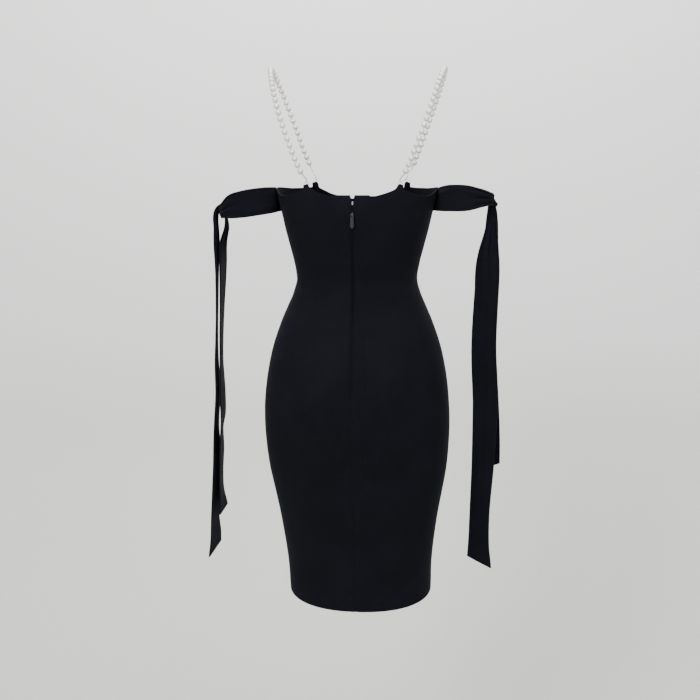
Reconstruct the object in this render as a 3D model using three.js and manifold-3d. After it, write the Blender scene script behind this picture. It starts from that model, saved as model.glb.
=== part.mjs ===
// A knee-length bodycon dress in the shape it has when worn, empty: a front and two back panels
// with a centre back zip, two shoulder straps of threaded beads, and a pair of ties round each
// upper arm, knotted outside the arm with their ends hanging.
// Millimetres, +Z up. The wearer faces -Y, so the wearer's left is +X and the zip faces +Y.
// The origin is midway between the shoulders, on the line where the bead straps rest on them.
import * as THREE from "three";
import { mergeVertices } from "three/addons/utils/BufferGeometryUtils.js";
import Module from "manifold-3d";

const wasm = await Module();
wasm.setup();

// Cloth
const CLOTH = 2; // a doubled stretch knit
const GAP = 0.3; // left between pieces that are sewn or linked together
const HEM_Z = -958;
const PANEL_ROWS = 20;
const NECK_SHARES = [0.9738, 0.9832, 0.9926];
const WIDEST_COLUMN = 9; // degrees
const HEM_TILT = { drop: 0.8, atX: 132, over: 158 }; // the hem is lower on the wearer's left
const HEM_RISE = { front: 17.5, loss: 10.8, atY: 95, bend: 0.2 }; // and lowest at the centre back

// The body of the dress
// Level sections of the outer surface, hem first: distances from the centre line to the side, the
// centre front and the centre back, how far each cup stands out past the front, and how far the
// level sways to the wearer's right.
const SECTIONS = [
  { z: -958, halfWidth: 132.5, front: 93, back: 90, cup: 0, sway: 7.5 }, // hem
  { z: -900, halfWidth: 135, front: 95, back: 91, cup: 0, sway: 6.2 },
  { z: -850, halfWidth: 140, front: 97.5, back: 93, cup: 0, sway: 5 },
  { z: -800, halfWidth: 147, front: 100.5, back: 96.5, cup: 0, sway: 4 },
  { z: -755, halfWidth: 155.5, front: 103, back: 101.5, cup: 0, sway: 3.2 },
  { z: -710, halfWidth: 164, front: 105, back: 108.5, cup: 0, sway: 2.2 },
  { z: -664, halfWidth: 168.8, front: 106, back: 117, cup: 0, sway: 1.2 },
  { z: -620, halfWidth: 170.5, front: 106.5, back: 122.5, cup: 0, sway: 0.5 }, // hips
  { z: -575, halfWidth: 168.5, front: 107, back: 123, cup: 0, sway: 0 },
  { z: -530, halfWidth: 162.8, front: 106.5, back: 117.5, cup: 0, sway: 0 },
  { z: -485, halfWidth: 153, front: 103.5, back: 107, cup: 0, sway: 0 },
  { z: -440, halfWidth: 137.7, front: 98, back: 94, cup: 0, sway: 0 },
  { z: -410, halfWidth: 124.8, front: 93, back: 84.5, cup: 0, sway: 0 },
  { z: -385, halfWidth: 114.3, front: 90, back: 79, cup: 0, sway: 0 },
  { z: -362, halfWidth: 109, front: 88.5, back: 77.5, cup: 0, sway: 0 }, // waist
  { z: -335, halfWidth: 112.7, front: 90, back: 81.5, cup: 1, sway: 0 },
  { z: -305, halfWidth: 120.2, front: 93, back: 87.5, cup: 7, sway: 0 },
  { z: -275, halfWidth: 128, front: 97, back: 92.5, cup: 17, sway: 0 },
  { z: -245, halfWidth: 134.8, front: 99, back: 95.5, cup: 23, sway: 0 }, // bust
  { z: -215, halfWidth: 142, front: 96, back: 94.5, cup: 17, sway: 0 },
  { z: -178, halfWidth: 148, front: 88, back: 88, cup: 8, sway: 0 }, // above the front strap tabs
];
const FULLNESS = 2.25; // 2 is an ellipse, more is a squarer section
const CUP_X = 68; // each cup's crown from the centre front
const CUP_SPREAD = 50;

// The top edge: its height at each angle from the centre back, the same on both sides.
const TOP_EDGE = [
  { angle: 0, z: -213.5 }, // centre back
  { angle: 14, z: -213.5 },
  { angle: 21.5, z: -208 },
  { angle: 26.5, z: -203.5 },
  { angle: 27.9, z: -201.5 },
  { angle: 29.7, z: -194.5 }, // back strap tab
  { angle: 33.6, z: -194.5 },
  { angle: 34.5, z: -203.5 },
  { angle: 38.5, z: -206 },
  { angle: 46, z: -210.5 },
  { angle: 53, z: -213.5 },
  { angle: 64, z: -213.5 }, // lowest under the arm
  { angle: 76, z: -207 },
  { angle: 90, z: -199 }, // side seam
  { angle: 102, z: -199 },
  { angle: 120, z: -200.5 },
  { angle: 136, z: -200 },
  { angle: 143.2, z: -198.5 },
  { angle: 143.9, z: -190 }, // front strap tab
  { angle: 148.4, z: -190 },
  { angle: 149.1, z: -199.5 },
  { angle: 158, z: -210 },
  { angle: 168, z: -218 },
  { angle: 180, z: -222 }, // centre front
];
const BACK_TAB_ANGLE = 31.55;
const FRONT_TAB_ANGLE = 146.15;

// How far each back panel's edge stands from the centre back: open above the slider, closed below.
const BACK_EDGE = [
  { z: HEM_Z, x: 0.25 },
  { z: -262, x: 0.3 },
  { z: -254, x: 1.15 },
  { z: -240, x: 1.15 },
  { z: -233, x: 1.4 },
  { z: -226, x: 1.9 },
  { z: -219, x: 1.7 },
  { z: -213.5, x: 3.6 },
  { z: -190, x: 3.6 },
];

// Zip and the stays behind its top
const ZIP_TOP_Z = -216;
const ZIP_END_Z = -562;
const TAPE_WIDTH = 13;
const TAPE = 0.8;
const STAY_WIDTH = 30;
const STAY_TOP_Z = -211.5; // shows above the neckline
const STAY_END_Z = -240.5;
const STAY = 0.8;
const SLIDER_Z = -245.5;
const SLIDER_BODY = { wide: 7, thick: 3.2, tall: 9, behindTape: 1 };
const BRIDGE = { hole: 1.3, radius: 2.5, thick: 1.4, proud: 3.1 };
const PULL = { plate: 1.1, axle: 0.75, rail: 0.45, windowHalf: 1.5, windowEnd: 3.4, shoulder: 4.4 };
const PULL_OUTLINE = { halfTop: 2.6, halfLow: 3.3, length: 25 };

// Bead straps
const BEAD = { radius: 5, pitch: 11.8, sides: 6, wire: 0.9 };
const STRAP_FINDING = 15; // bare wire between the eye and the first bead
const EYE = { radius: 1.9, wire: 0.5 };
const RING = { radius: 3.5, wire: 0.55 };
const LOOP = { wide: 3.2, thick: 0.9, inside: 1, below: 9, riseOverTab: -0.5 };
// The left strap's route between its tabs, back first, through the middle of its beads.
const STRAP_ROUTE = [
  { x: 90, y: 86, z: -171 },
  { x: 105, y: 93, z: -132 },
  { x: 120, y: 92, z: -90 },
  { x: 133, y: 79, z: -48 },
  { x: 143.5, y: 48, z: -12 },
  { x: 150, y: 8, z: 5.5 }, // over the shoulder
  { x: 146, y: -32, z: -10 },
  { x: 134, y: -58, z: -48 },
  { x: 119, y: -70, z: -92 },
  { x: 104, y: -79, z: -137 },
  { x: 92, y: -87, z: -167 },
];
const STRAP_BOW = { left: 1.5, right: 4 }; // how far each strap's middle bows out past the route

// Arm ties
const TIE_CLOTH = 2.4;
const KNOT_X = { left: 247.5, right: 243.5 };
const KNOT_Z = { left: -242, right: -223 };
// Each band's middle line from the side seam round the back of the arm to the knot, with its
// width, its thickness, its lean from upright in degrees, and the depth of its gathers.
const BANDS = {
  left: [
    { x: 142.6, y: 2.8, z: -220.5, width: 43, thick: 2.4, lean: 14, gather: 0 },
    { x: 150, y: 19, z: -221, width: 45, thick: 2.4, lean: 10, gather: 0 },
    { x: 167, y: 38, z: -223.5, width: 48, thick: 2.4, lean: 4, gather: 0 },
    { x: 197, y: 47, z: -228, width: 48, thick: 2.4, lean: 0, gather: 0 },
    { x: 223, y: 41.5, z: -233, width: 42, thick: 2.6, lean: -4, gather: 0.6 },
    { x: 238.5, y: 28, z: -240, width: 26, thick: 3.2, lean: -8, gather: 1.6 },
    { x: 246.5, y: 16.6, z: -241, width: 18.5, thick: 4.2, lean: -5, gather: 1.4 },
  ],
  right: [
    { x: 142.6, y: 2.8, z: -219.5, width: 42, thick: 2.4, lean: 14, gather: 0 },
    { x: 150, y: 19, z: -218.5, width: 44, thick: 2.4, lean: 10, gather: 0 },
    { x: 167, y: 38, z: -217.5, width: 46, thick: 2.4, lean: 4, gather: 0 },
    { x: 196, y: 46.5, z: -217.5, width: 44, thick: 2.4, lean: 0, gather: 0 },
    { x: 220, y: 41, z: -217.5, width: 31, thick: 2.8, lean: -4, gather: 1.2 },
    { x: 234.5, y: 28, z: -218.5, width: 21, thick: 3.6, lean: -8, gather: 1.6 },
    { x: 242.5, y: 16.6, z: -221, width: 18.5, thick: 4.2, lean: -5, gather: 1.4 },
  ],
};
const BAND_STEPS = 12;
const KNOT_ARM = 14.4; // from the knot's middle to where each band enters it
// The level ovals of a knot's gathered core, as half widths.
const KNOT_CORE = [
  { z: 9, x: 3.5, y: 5 },
  { z: 6, x: 6, y: 8.5 },
  { z: -2, x: 7, y: 9 },
  { z: -9, x: 6.5, y: 7.5 },
  { z: -14, x: 6, y: 5.5 },
];
const KNOT_WRAP = { steps: 12, x: 7.6, y: 9.6, halfThick: 2.6, halfWide: 7.5, slant: -32 };

// The hanging ends. turn is the angle in plan from the wearer's side-to-side line to the cloth's
// width, and each end's foot is cut on a slant. left and right give x from the centre outwards.
const TAILS = {
  tie_left_long: {
    side: "left",
    slant: 9,
    rows: [
      { x: 254, y: 2, z: -256.6, width: 12, thick: 3.2, turn: 80, gather: 0.8 },
      { x: 255.5, y: 3, z: -273, width: 20, thick: 3, turn: 80, gather: 1.5 },
      { x: 254.5, y: 3, z: -300, width: 32, thick: 2.4, turn: 84, gather: 1.2 },
      { x: 255, y: 2, z: -345, width: 45, thick: 2.4, turn: 92, gather: 0.3 },
      { x: 255.3, y: 0, z: -420, width: 48, thick: 2.4, turn: 97, gather: 0 },
      { x: 262, y: -3, z: -520, width: 48, thick: 2.4, turn: 97, gather: 0 },
      { x: 265, y: 0, z: -620, width: 48, thick: 2.4, turn: 97, gather: 0 },
      { x: 268, y: 4, z: -720, width: 48, thick: 2.4, turn: 94, gather: 0 },
      { x: 271, y: 3, z: -810, width: 48, thick: 2.4, turn: 86, gather: 0 },
      { x: 275, y: 0, z: -880, width: 48, thick: 2.4, turn: 78, gather: 0 },
    ],
  },
  tie_left_short: {
    side: "left",
    slant: 8,
    rows: [
      { x: 243.4, y: -2, z: -256.6, width: 12, thick: 3.2, turn: 102, gather: 0.8 },
      { x: 238.8, y: -6, z: -273, width: 22, thick: 3, turn: 110, gather: 1.6 },
      { x: 242.5, y: -9, z: -300, width: 36, thick: 2.4, turn: 112, gather: 1 },
      { x: 244.5, y: -9, z: -345, width: 46, thick: 2.4, turn: 106, gather: 0.2 },
      { x: 246.5, y: -7, z: -420, width: 48, thick: 2.4, turn: 104, gather: 0 },
      { x: 253, y: -5, z: -520, width: 48, thick: 2.4, turn: 105, gather: 0 },
      { x: 255.5, y: -6, z: -620, width: 48, thick: 2.4, turn: 104, gather: 0 },
      { x: 257, y: -10, z: -710, width: 48, thick: 2.4, turn: 100, gather: 0 },
      { x: 255.5, y: -14, z: -797, width: 48, thick: 2.4, turn: 84, gather: 0 },
    ],
  },
  tie_right_long: {
    side: "right",
    slant: 7,
    rows: [
      { x: 242, y: 5, z: -237.6, width: 12, thick: 3.6, turn: 8, gather: 1 },
      { x: 242, y: 10, z: -252, width: 16, thick: 3, turn: 8, gather: 1.8 },
      { x: 240.5, y: 14, z: -275, width: 22, thick: 2.6, turn: 6, gather: 1.8 },
      { x: 236.5, y: 17, z: -315, width: 34, thick: 2.4, turn: 10, gather: 1.2 },
      { x: 234.4, y: 18, z: -350, width: 44, thick: 2.4, turn: 30, gather: 0.6 },
      { x: 233.4, y: 18, z: -410, width: 48, thick: 2.4, turn: 37, gather: 0.2 },
      { x: 232.5, y: 17, z: -484, width: 48, thick: 2.4, turn: 31, gather: 0 },
      { x: 235.5, y: 16, z: -580, width: 48, thick: 2.4, turn: 23, gather: 0 },
      { x: 233.5, y: 18, z: -690, width: 48, thick: 2.4, turn: 35, gather: 0 },
      { x: 228.7, y: 20, z: -780, width: 48, thick: 2.4, turn: 44, gather: 0 },
      { x: 227.5, y: 21, z: -845, width: 48, thick: 2.4, turn: 41, gather: 0 },
      { x: 228.8, y: 20, z: -884, width: 48, thick: 2.4, turn: 27, gather: 0 },
    ],
  },
  tie_right_short: {
    side: "right",
    slant: -9,
    rows: [
      { x: 245.5, y: -3, z: -237.6, width: 12, thick: 3.6, turn: 14, gather: 1 },
      { x: 246, y: -3, z: -252, width: 16, thick: 3, turn: 12, gather: 1.8 },
      { x: 242.5, y: -2.5, z: -275, width: 22, thick: 2.6, turn: 10, gather: 1.8 },
      { x: 237, y: -1, z: -320, width: 33, thick: 2.4, turn: 8, gather: 1 },
      { x: 232, y: 0, z: -390, width: 43, thick: 2.4, turn: 28, gather: 0.3 },
      { x: 231.5, y: 1, z: -484, width: 48, thick: 2.4, turn: 26, gather: 0 },
      { x: 236.5, y: 0, z: -580, width: 48, thick: 2.4, turn: 14, gather: 0 },
      { x: 240.5, y: 0, z: -650, width: 48, thick: 2.4, turn: 6, gather: 0 },
      { x: 242, y: 0, z: -709, width: 48, thick: 2.4, turn: 3, gather: 0 },
    ],
  },
};
const TAIL_STEPS = 16;

const knit = new THREE.MeshStandardMaterial({ color: 0x14141b, roughness: 0.9, metalness: 0 });
const tapeCloth = new THREE.MeshStandardMaterial({ color: 0x101014, roughness: 0.95, metalness: 0 });
const pearl = new THREE.MeshStandardMaterial({ color: 0xf1ecdc, roughness: 0.25, metalness: 0 });
const nickel = new THREE.MeshStandardMaterial({ color: 0xc9c9cc, roughness: 0.3, metalness: 1 });
const gunmetal = new THREE.MeshStandardMaterial({ color: 0x6d6d74, roughness: 0.35, metalness: 1 });

const UP = new THREE.Vector3(0, 0, 1);
const radians = THREE.MathUtils.degToRad;

// A table's row at a place between its rows: every column, joined by straight lines.
function straightRow(table, key, at) {
  const next = Math.min(Math.max(1, table.findIndex((row) => row[key] > at)), table.length - 1);
  const [a, b] = at >= table[table.length - 1][key] ? table.slice(-2) : [table[next - 1], table[next]];
  const share = (at - a[key]) / (b[key] - a[key]);
  return Object.fromEntries(Object.keys(a).map((name) => [name, a[name] + (b[name] - a[name]) * share]));
}

// The same, joined by smooth curves. Without a key, at counts rows.
function smoothRow(table, key, at) {
  const place = (i) => (key ? table[i][key] : i);
  let i = 0;
  while (i < table.length - 2 && place(i + 1) < at) i += 1;
  const [before, after] = [Math.max(i - 1, 0), Math.min(i + 2, table.length - 1)];
  const span = place(i + 1) - place(i);
  const t = (at - place(i)) / span;
  const bend = (name) => {
    const [a, b] = [table[i][name], table[i + 1][name]];
    const slopeA = ((b - table[before][name]) / (place(i + 1) - place(before))) * span;
    const slopeB = ((table[after][name] - a) / (place(after) - place(i))) * span;
    const [t2, t3] = [t * t, t * t * t];
    return (
      (2 * t3 - 3 * t2 + 1) * a + (t3 - 2 * t2 + t) * slopeA + (3 * t2 - 2 * t3) * b + (t3 - t2) * slopeB
    );
  };
  return Object.fromEntries(Object.keys(table[i]).map((name) => [name, bend(name)]));
}

const squarer = (share) => Math.sign(share) * Math.abs(share) ** (2 / FULLNESS);

// The dress's outer surface: 0 degrees is the centre back, 90 the wearer's left, 180 the front.
function bodyPoint(angle, z) {
  const section = smoothRow(SECTIONS, "z", z);
  const side = Math.sin(radians(angle));
  const facing = Math.cos(radians(angle));
  const x = section.halfWidth * squarer(side);
  if (facing >= 0) return new THREE.Vector3(x, section.back * squarer(facing), z);
  const crown = Math.exp(-(((Math.abs(x) - CUP_X) / CUP_SPREAD) ** 2));
  return new THREE.Vector3(x, section.front * squarer(facing) + section.cup * crown * facing, z);
}

function bodyNormal(angle, z) {
  const step = 0.5;
  const round = bodyPoint(angle + step, z).sub(bodyPoint(angle - step, z));
  const up = bodyPoint(angle, z + step).sub(bodyPoint(angle, z - step));
  return up.cross(round).normalize();
}

// A point so far inside the dress's outer surface.
const insidePoint = (angle, z, depth) => bodyPoint(angle, z).addScaledVector(bodyNormal(angle, z), -depth);

// The angle where the back of the dress is x from the centre back, or where it is y behind the side.
function angleAtX(x, z) {
  const share = (x / smoothRow(SECTIONS, "z", z).halfWidth) ** (FULLNESS / 2);
  return THREE.MathUtils.radToDeg(Math.asin(share));
}
function angleAtY(y, z) {
  const share = (y / smoothRow(SECTIONS, "z", z).back) ** (FULLNESS / 2);
  return THREE.MathUtils.radToDeg(Math.acos(share));
}

// A closed wall between two grids of points, each a list of rows.
function wallBetween(outer, inner) {
  const [rows, columns] = [outer.length, outer[0].length];
  const points = [...outer.flat(), ...inner.flat()];
  const front = (r, c) => r * columns + c;
  const back = (r, c) => rows * columns + r * columns + c;
  const faces = [];
  const quad = (a, b, c, d) => faces.push(a, b, c, a, c, d);
  for (let r = 0; r < rows - 1; r += 1) {
    for (let c = 0; c < columns - 1; c += 1) {
      quad(front(r, c), front(r, c + 1), front(r + 1, c + 1), front(r + 1, c));
      quad(back(r, c), back(r + 1, c), back(r + 1, c + 1), back(r, c + 1));
    }
    quad(front(r, 0), front(r + 1, 0), back(r + 1, 0), back(r, 0));
    quad(front(r, columns - 1), back(r, columns - 1), back(r + 1, columns - 1), front(r + 1, columns - 1));
  }
  for (let c = 0; c < columns - 1; c += 1) {
    quad(front(0, c), back(0, c), back(0, c + 1), front(0, c + 1));
    quad(front(rows - 1, c), front(rows - 1, c + 1), back(rows - 1, c + 1), back(rows - 1, c));
  }
  return geometryOf(points, faces);
}

// A skin over rings of points: capped at both ends, or closed on itself.
function loft(rings, closed = false) {
  const sides = rings[0].length;
  const points = rings.flat();
  const faces = [];
  const steps = closed ? rings.length : rings.length - 1;
  for (let r = 0; r < steps; r += 1) {
    const next = (r + 1) % rings.length;
    for (let s = 0; s < sides; s += 1) {
      const turn = (s + 1) % sides;
      const [a, b, c, d] = [r * sides + s, r * sides + turn, next * sides + turn, next * sides + s];
      faces.push(a, b, c, a, c, d);
    }
  }
  for (let s = 1; !closed && s < sides - 1; s += 1) {
    const last = (rings.length - 1) * sides;
    faces.push(0, s + 1, s, last, last + s, last + s + 1);
  }
  return geometryOf(points, faces);
}

function geometryOf(points, faces) {
  const geometry = new THREE.BufferGeometry().setFromPoints(points);
  geometry.setIndex(faces);
  geometry.computeVertexNormals();
  return geometry;
}

// An oval ring of points round a centre, with its two half axes as vectors.
function oval(centre, first, second, sides) {
  return Array.from({ length: sides }, (_, s) => {
    const turn = (s / sides) * Math.PI * 2;
    return centre.clone().addScaledVector(first, Math.cos(turn)).addScaledVector(second, Math.sin(turn));
  });
}

// Joins closed geometries into one solid.
function solidOf(geometry) {
  const bare = geometry.clone();
  bare.deleteAttribute("normal");
  bare.deleteAttribute("uv");
  const merged = mergeVertices(bare, 1e-4);
  return new wasm.Manifold(
    new wasm.Mesh({
      numProp: 3,
      vertProperties: merged.attributes.position.array,
      triVerts: new Uint32Array(merged.index.array),
    }),
  );
}
function joined(...geometries) {
  const mesh = geometries.map(solidOf).reduce((whole, piece) => whole.add(piece)).simplify(0.03).getMesh();
  const geometry = new THREE.BufferGeometry();
  geometry.setAttribute("position", new THREE.BufferAttribute(mesh.vertProperties.slice(), mesh.numProp));
  geometry.setIndex(new THREE.BufferAttribute(mesh.triVerts.slice(), 1));
  geometry.computeVertexNormals();
  return geometry;
}

// The angles of a panel's columns: one at each corner of the top edge, and none too far apart.
function panelColumns(from, to) {
  const corners = TOP_EDGE.map((row) => row.angle).filter((angle) => angle >= from && angle <= to);
  const columns = [corners[0]];
  for (const corner of corners.slice(1)) {
    const last = columns[columns.length - 1];
    const parts = Math.ceil((corner - last) / WIDEST_COLUMN);
    for (let i = 1; i <= parts; i += 1) columns.push(last + ((corner - last) * i) / parts);
  }
  return columns;
}

// The shares of a panel's height where its rows lie: even steps, and closer under the neckline.
const PANEL_SHARES = [
  ...Array.from({ length: PANEL_ROWS }, (_, r) => r / PANEL_ROWS),
  ...NECK_SHARES,
  1,
];

// A panel's wall over its columns, whose edges stand at the angles that place gives.
function panel(columns, place) {
  const grid = (depth) =>
    PANEL_SHARES.map((share) =>
      columns.map((column) => {
        const z = THREE.MathUtils.lerp(HEM_Z, topEdge(column), share);
        return insidePoint(place(column, z), z, depth);
      }),
    );
  return wallBetween(grid(CLOTH), grid(0));
}

const topEdge = (angle) => straightRow(TOP_EDGE, "angle", angle > 180 ? 360 - angle : angle).z;
const backEdge = (z) => straightRow(BACK_EDGE, "z", z).x;

// A back panel's columns stand at their own angles, but for its edges at the zip and the side seam.
function backPlace(column, z) {
  if (column === 0) return angleAtX(backEdge(z), z);
  return column === 90 ? angleAtY(GAP / 2, z) : column;
}
const backPanel = () => panel(panelColumns(0, 90), backPlace);

function frontPanel() {
  const half = panelColumns(90, 180);
  const columns = [...half, ...half.slice(0, -1).reverse().map((angle) => 360 - angle)];
  const side = (z) => 180 - angleAtY(GAP / 2, z);
  return panel(columns, (column, z) => {
    if (column === 90) return side(z);
    return column === 270 ? 360 - side(z) : column;
  });
}

// A point on a back panel's facets near the centre back, so deep in, on its column or between two.
function facetPoint(columns, x, z, depth) {
  const share = (z - HEM_Z) / (topEdge(0) - HEM_Z);
  const above = Math.max(1, PANEL_SHARES.findIndex((level) => level >= Math.min(share, 1)));
  const [low, high] = [PANEL_SHARES[above - 1], PANEL_SHARES[above]];
  const up = (share - low) / (high - low);
  const line = columns.map((column) => {
    const [a, b] = [low, high].map((level) => {
      const height = THREE.MathUtils.lerp(HEM_Z, topEdge(0), level);
      return insidePoint(backPlace(column, height), height, depth);
    });
    return a.lerp(b, up);
  });
  if (x === null) return line[0];
  const next = Math.max(1, line.findIndex((point) => point.x > x));
  return line[next - 1].clone().lerp(line[next], (x - line[next - 1].x) / (line[next].x - line[next - 1].x));
}

// A strip behind a back panel along the centre back, such as a zip tape, this deep in.
function backStrip({ width, thick, depth, top, bottom }) {
  const columns = panelColumns(0, 90).slice(0, 4);
  const levels = PANEL_SHARES.map((share) => THREE.MathUtils.lerp(HEM_Z, topEdge(0), share));
  const heights = [bottom, ...levels.filter((z) => z > bottom + 1 && z < top - 1), top];
  const grid = (inside) =>
    heights.map((z) => {
      const fold = facetPoint(columns.slice(1), null, z, inside);
      const edges = [facetPoint(columns, null, z, inside), facetPoint(columns, width, z, inside)];
      return fold.x < width ? [edges[0], fold, edges[1]] : edges;
    });
  return wallBetween(grid(depth + thick), grid(depth));
}

// A ribbon through rows of {centre, across, width, thick, gather}: across is its unit width
// direction, and gather the depth of its pleats.
function ribbon(rows, slant = 0) {
  const shares = [0, 1 / 6, 1 / 3, 1 / 2, 2 / 3, 5 / 6, 1];
  const grid = (face) =>
    rows.map((row, i) => {
      const along = rows[Math.min(i + 1, rows.length - 1)].centre.clone();
      along.sub(rows[Math.max(i - 1, 0)].centre).normalize();
      const out = row.across.clone().cross(along).normalize();
      const foot = i === rows.length - 1 ? slant : 0;
      return shares.map((share) => {
        const pleat = row.gather * Math.cos(share * Math.PI * 6);
        return row.centre
          .clone()
          .addScaledVector(row.across, (share - 0.5) * row.width)
          .addScaledVector(along, foot * (share - 0.5) * 2)
          .addScaledVector(out, pleat + (face * row.thick) / 2);
      });
    });
  return wallBetween(grid(1), grid(-1));
}

// An arm band, leaning from upright by row.lean in the direction square to its path.
function armBand(table) {
  const rows = Array.from({ length: BAND_STEPS + 1 }, (_, i) =>
    smoothRow(table, null, (i / BAND_STEPS) * (table.length - 1)),
  );
  const centres = rows.map((row) => new THREE.Vector3(row.x, row.y, row.z));
  return ribbon(
    rows.map((row, i) => {
      const along = centres[Math.min(i + 1, BAND_STEPS)].clone().sub(centres[Math.max(i - 1, 0)]);
      const outward = new THREE.Vector3(along.y, -along.x, 0).normalize();
      const lean = radians(row.lean);
      const across = UP.clone().multiplyScalar(Math.cos(lean)).addScaledVector(outward, Math.sin(lean));
      return { ...row, centre: centres[i], across };
    }),
  );
}

function tail({ rows: table, slant }) {
  return ribbon(
    Array.from({ length: TAIL_STEPS + 1 }, (_, i) => {
      const row = smoothRow(table, null, (i / TAIL_STEPS) * (table.length - 1));
      const turn = radians(row.turn);
      const across = new THREE.Vector3(Math.cos(turn), Math.sin(turn), 0);
      return { ...row, centre: new THREE.Vector3(row.x, row.y, row.z), across };
    }),
    slant,
  );
}

// A tied knot: the gathered ties in the middle, a stub towards each band, and one tie's turn
// wrapped round them on a slant.
function knot() {
  const sides = 8;
  const core = KNOT_CORE.map(({ x, y, z }) =>
    oval(new THREE.Vector3(0, 0, z), new THREE.Vector3(x, 0, 0), new THREE.Vector3(0, -y, 0), sides),
  );
  const arms = [KNOT_ARM, 8, 0, -8, -KNOT_ARM].map((y) => {
    const swell = (KNOT_ARM - Math.abs(y)) * 0.12;
    const centre = new THREE.Vector3(-1.2, y, 2);
    return oval(centre, new THREE.Vector3(3 + swell, 0, 0), new THREE.Vector3(0, 0, 9.2 - swell), sides);
  });
  const { steps, x, y, halfThick, halfWide, slant } = KNOT_WRAP;
  const wrap = Array.from({ length: steps }, (_, i) => {
    const turn = (i / steps) * Math.PI * 2;
    const out = new THREE.Vector3(Math.cos(turn), Math.sin(turn), 0);
    const centre = new THREE.Vector3(out.x * x, out.y * y, 0);
    return oval(centre, out.multiplyScalar(halfThick), new THREE.Vector3(0, 0, -halfWide), 6);
  });
  const slanted = loft(wrap, true).rotateX(radians(slant)).translate(0.6, 0, -0.5);
  return joined(loft(core), loft(arms), slanted);
}

// The frame at a strap tab: its point on the outer surface and the turn about +Z of its outward side.
function tabFrame(angle) {
  const z = topEdge(angle);
  const normal = bodyNormal(angle, z);
  return { point: bodyPoint(angle, z), turn: Math.atan2(normal.x, -normal.y) };
}

// The cloth loop behind a tab, folded over the ring; -Y is outwards in its own frame.
const LOOP_MIDDLE = CLOTH + GAP + LOOP.thick + LOOP.inside;
function strapLoop() {
  const outside = LOOP.inside + LOOP.thick;
  const shape = new THREE.Shape();
  shape.moveTo(outside, -LOOP.below);
  shape.lineTo(outside, 0);
  shape.absarc(0, 0, outside, 0, Math.PI, false);
  shape.lineTo(-outside, -LOOP.below);
  shape.lineTo(-LOOP.inside, -LOOP.below);
  shape.lineTo(-LOOP.inside, 0);
  shape.absarc(0, 0, LOOP.inside, Math.PI, 0, true);
  shape.lineTo(LOOP.inside, -LOOP.below);
  const extrusion = { depth: LOOP.wide, bevelEnabled: false, curveSegments: 4 };
  const geometry = new THREE.ExtrudeGeometry(shape, extrusion);
  return geometry.translate(0, 0, -LOOP.wide / 2).rotateX(Math.PI / 2).rotateZ(Math.PI / 2);
}
const strapRing = () => new THREE.TorusGeometry(RING.radius, RING.wire, 5, 12).rotateX(Math.PI / 2);

// Heights above a tab's top of the loop's bend, the ring's centre and the strap eye's centre.
const BEND_UP = LOOP.riseOverTab;
const RING_UP = BEND_UP + RING.radius - 0.35;
const EYE_UP = RING_UP + RING.radius + 0.55;

// A strap: an eye at each end, bare wire, then beads on the wire along its route.
function beadStrap(bow) {
  const ends = [BACK_TAB_ANGLE, FRONT_TAB_ANGLE].map((angle) => {
    const { point, turn } = tabFrame(angle);
    const inwards = new THREE.Vector3(-Math.sin(turn), Math.cos(turn), 0);
    return { turn, eye: point.addScaledVector(inwards, LOOP_MIDDLE).addScaledVector(UP, EYE_UP) };
  });
  const tops = ends.map(({ eye }) => eye.clone().addScaledVector(UP, EYE.radius));
  const middle = STRAP_ROUTE.map(({ x, y, z }, i) => {
    const out = bow * Math.sin((Math.PI * (i + 1)) / (STRAP_ROUTE.length + 1));
    return new THREE.Vector3(x + out, y, z);
  });
  const route = new THREE.CatmullRomCurve3([tops[0], ...middle, tops[1]], false, "centripetal");
  const length = route.getLength();
  const count = Math.floor((length - 2 * STRAP_FINDING) / BEAD.pitch);
  const first = (length - (count - 1) * BEAD.pitch) / 2;
  const stations = [{ at: 0, radius: BEAD.wire }];
  for (let i = 0; i < count; i += 1) {
    for (const share of [-0.95, -0.5, 0.5, 0.95]) {
      const radius = Math.max(BEAD.wire, BEAD.radius * Math.sqrt(1 - share * share));
      stations.push({ at: first + i * BEAD.pitch + share * BEAD.radius, radius });
    }
  }
  stations.push({ at: length, radius: BEAD.wire });
  const rings = stations.map(({ at, radius }) => {
    const along = route.getTangentAt(at / length);
    const side = along.clone().cross(new THREE.Vector3(1, 0, 0)).normalize();
    const other = along.clone().cross(side).multiplyScalar(radius);
    return oval(route.getPointAt(at / length), side.multiplyScalar(radius), other, BEAD.sides);
  });
  const eyes = ends.map(({ turn, eye }) =>
    new THREE.TorusGeometry(EYE.radius, EYE.wire, 5, 10)
      .rotateY(Math.PI / 2)
      .rotateZ(turn)
      .translate(eye.x, eye.y, eye.z),
  );
  return joined(loft(rings), ...eyes);
}

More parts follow.
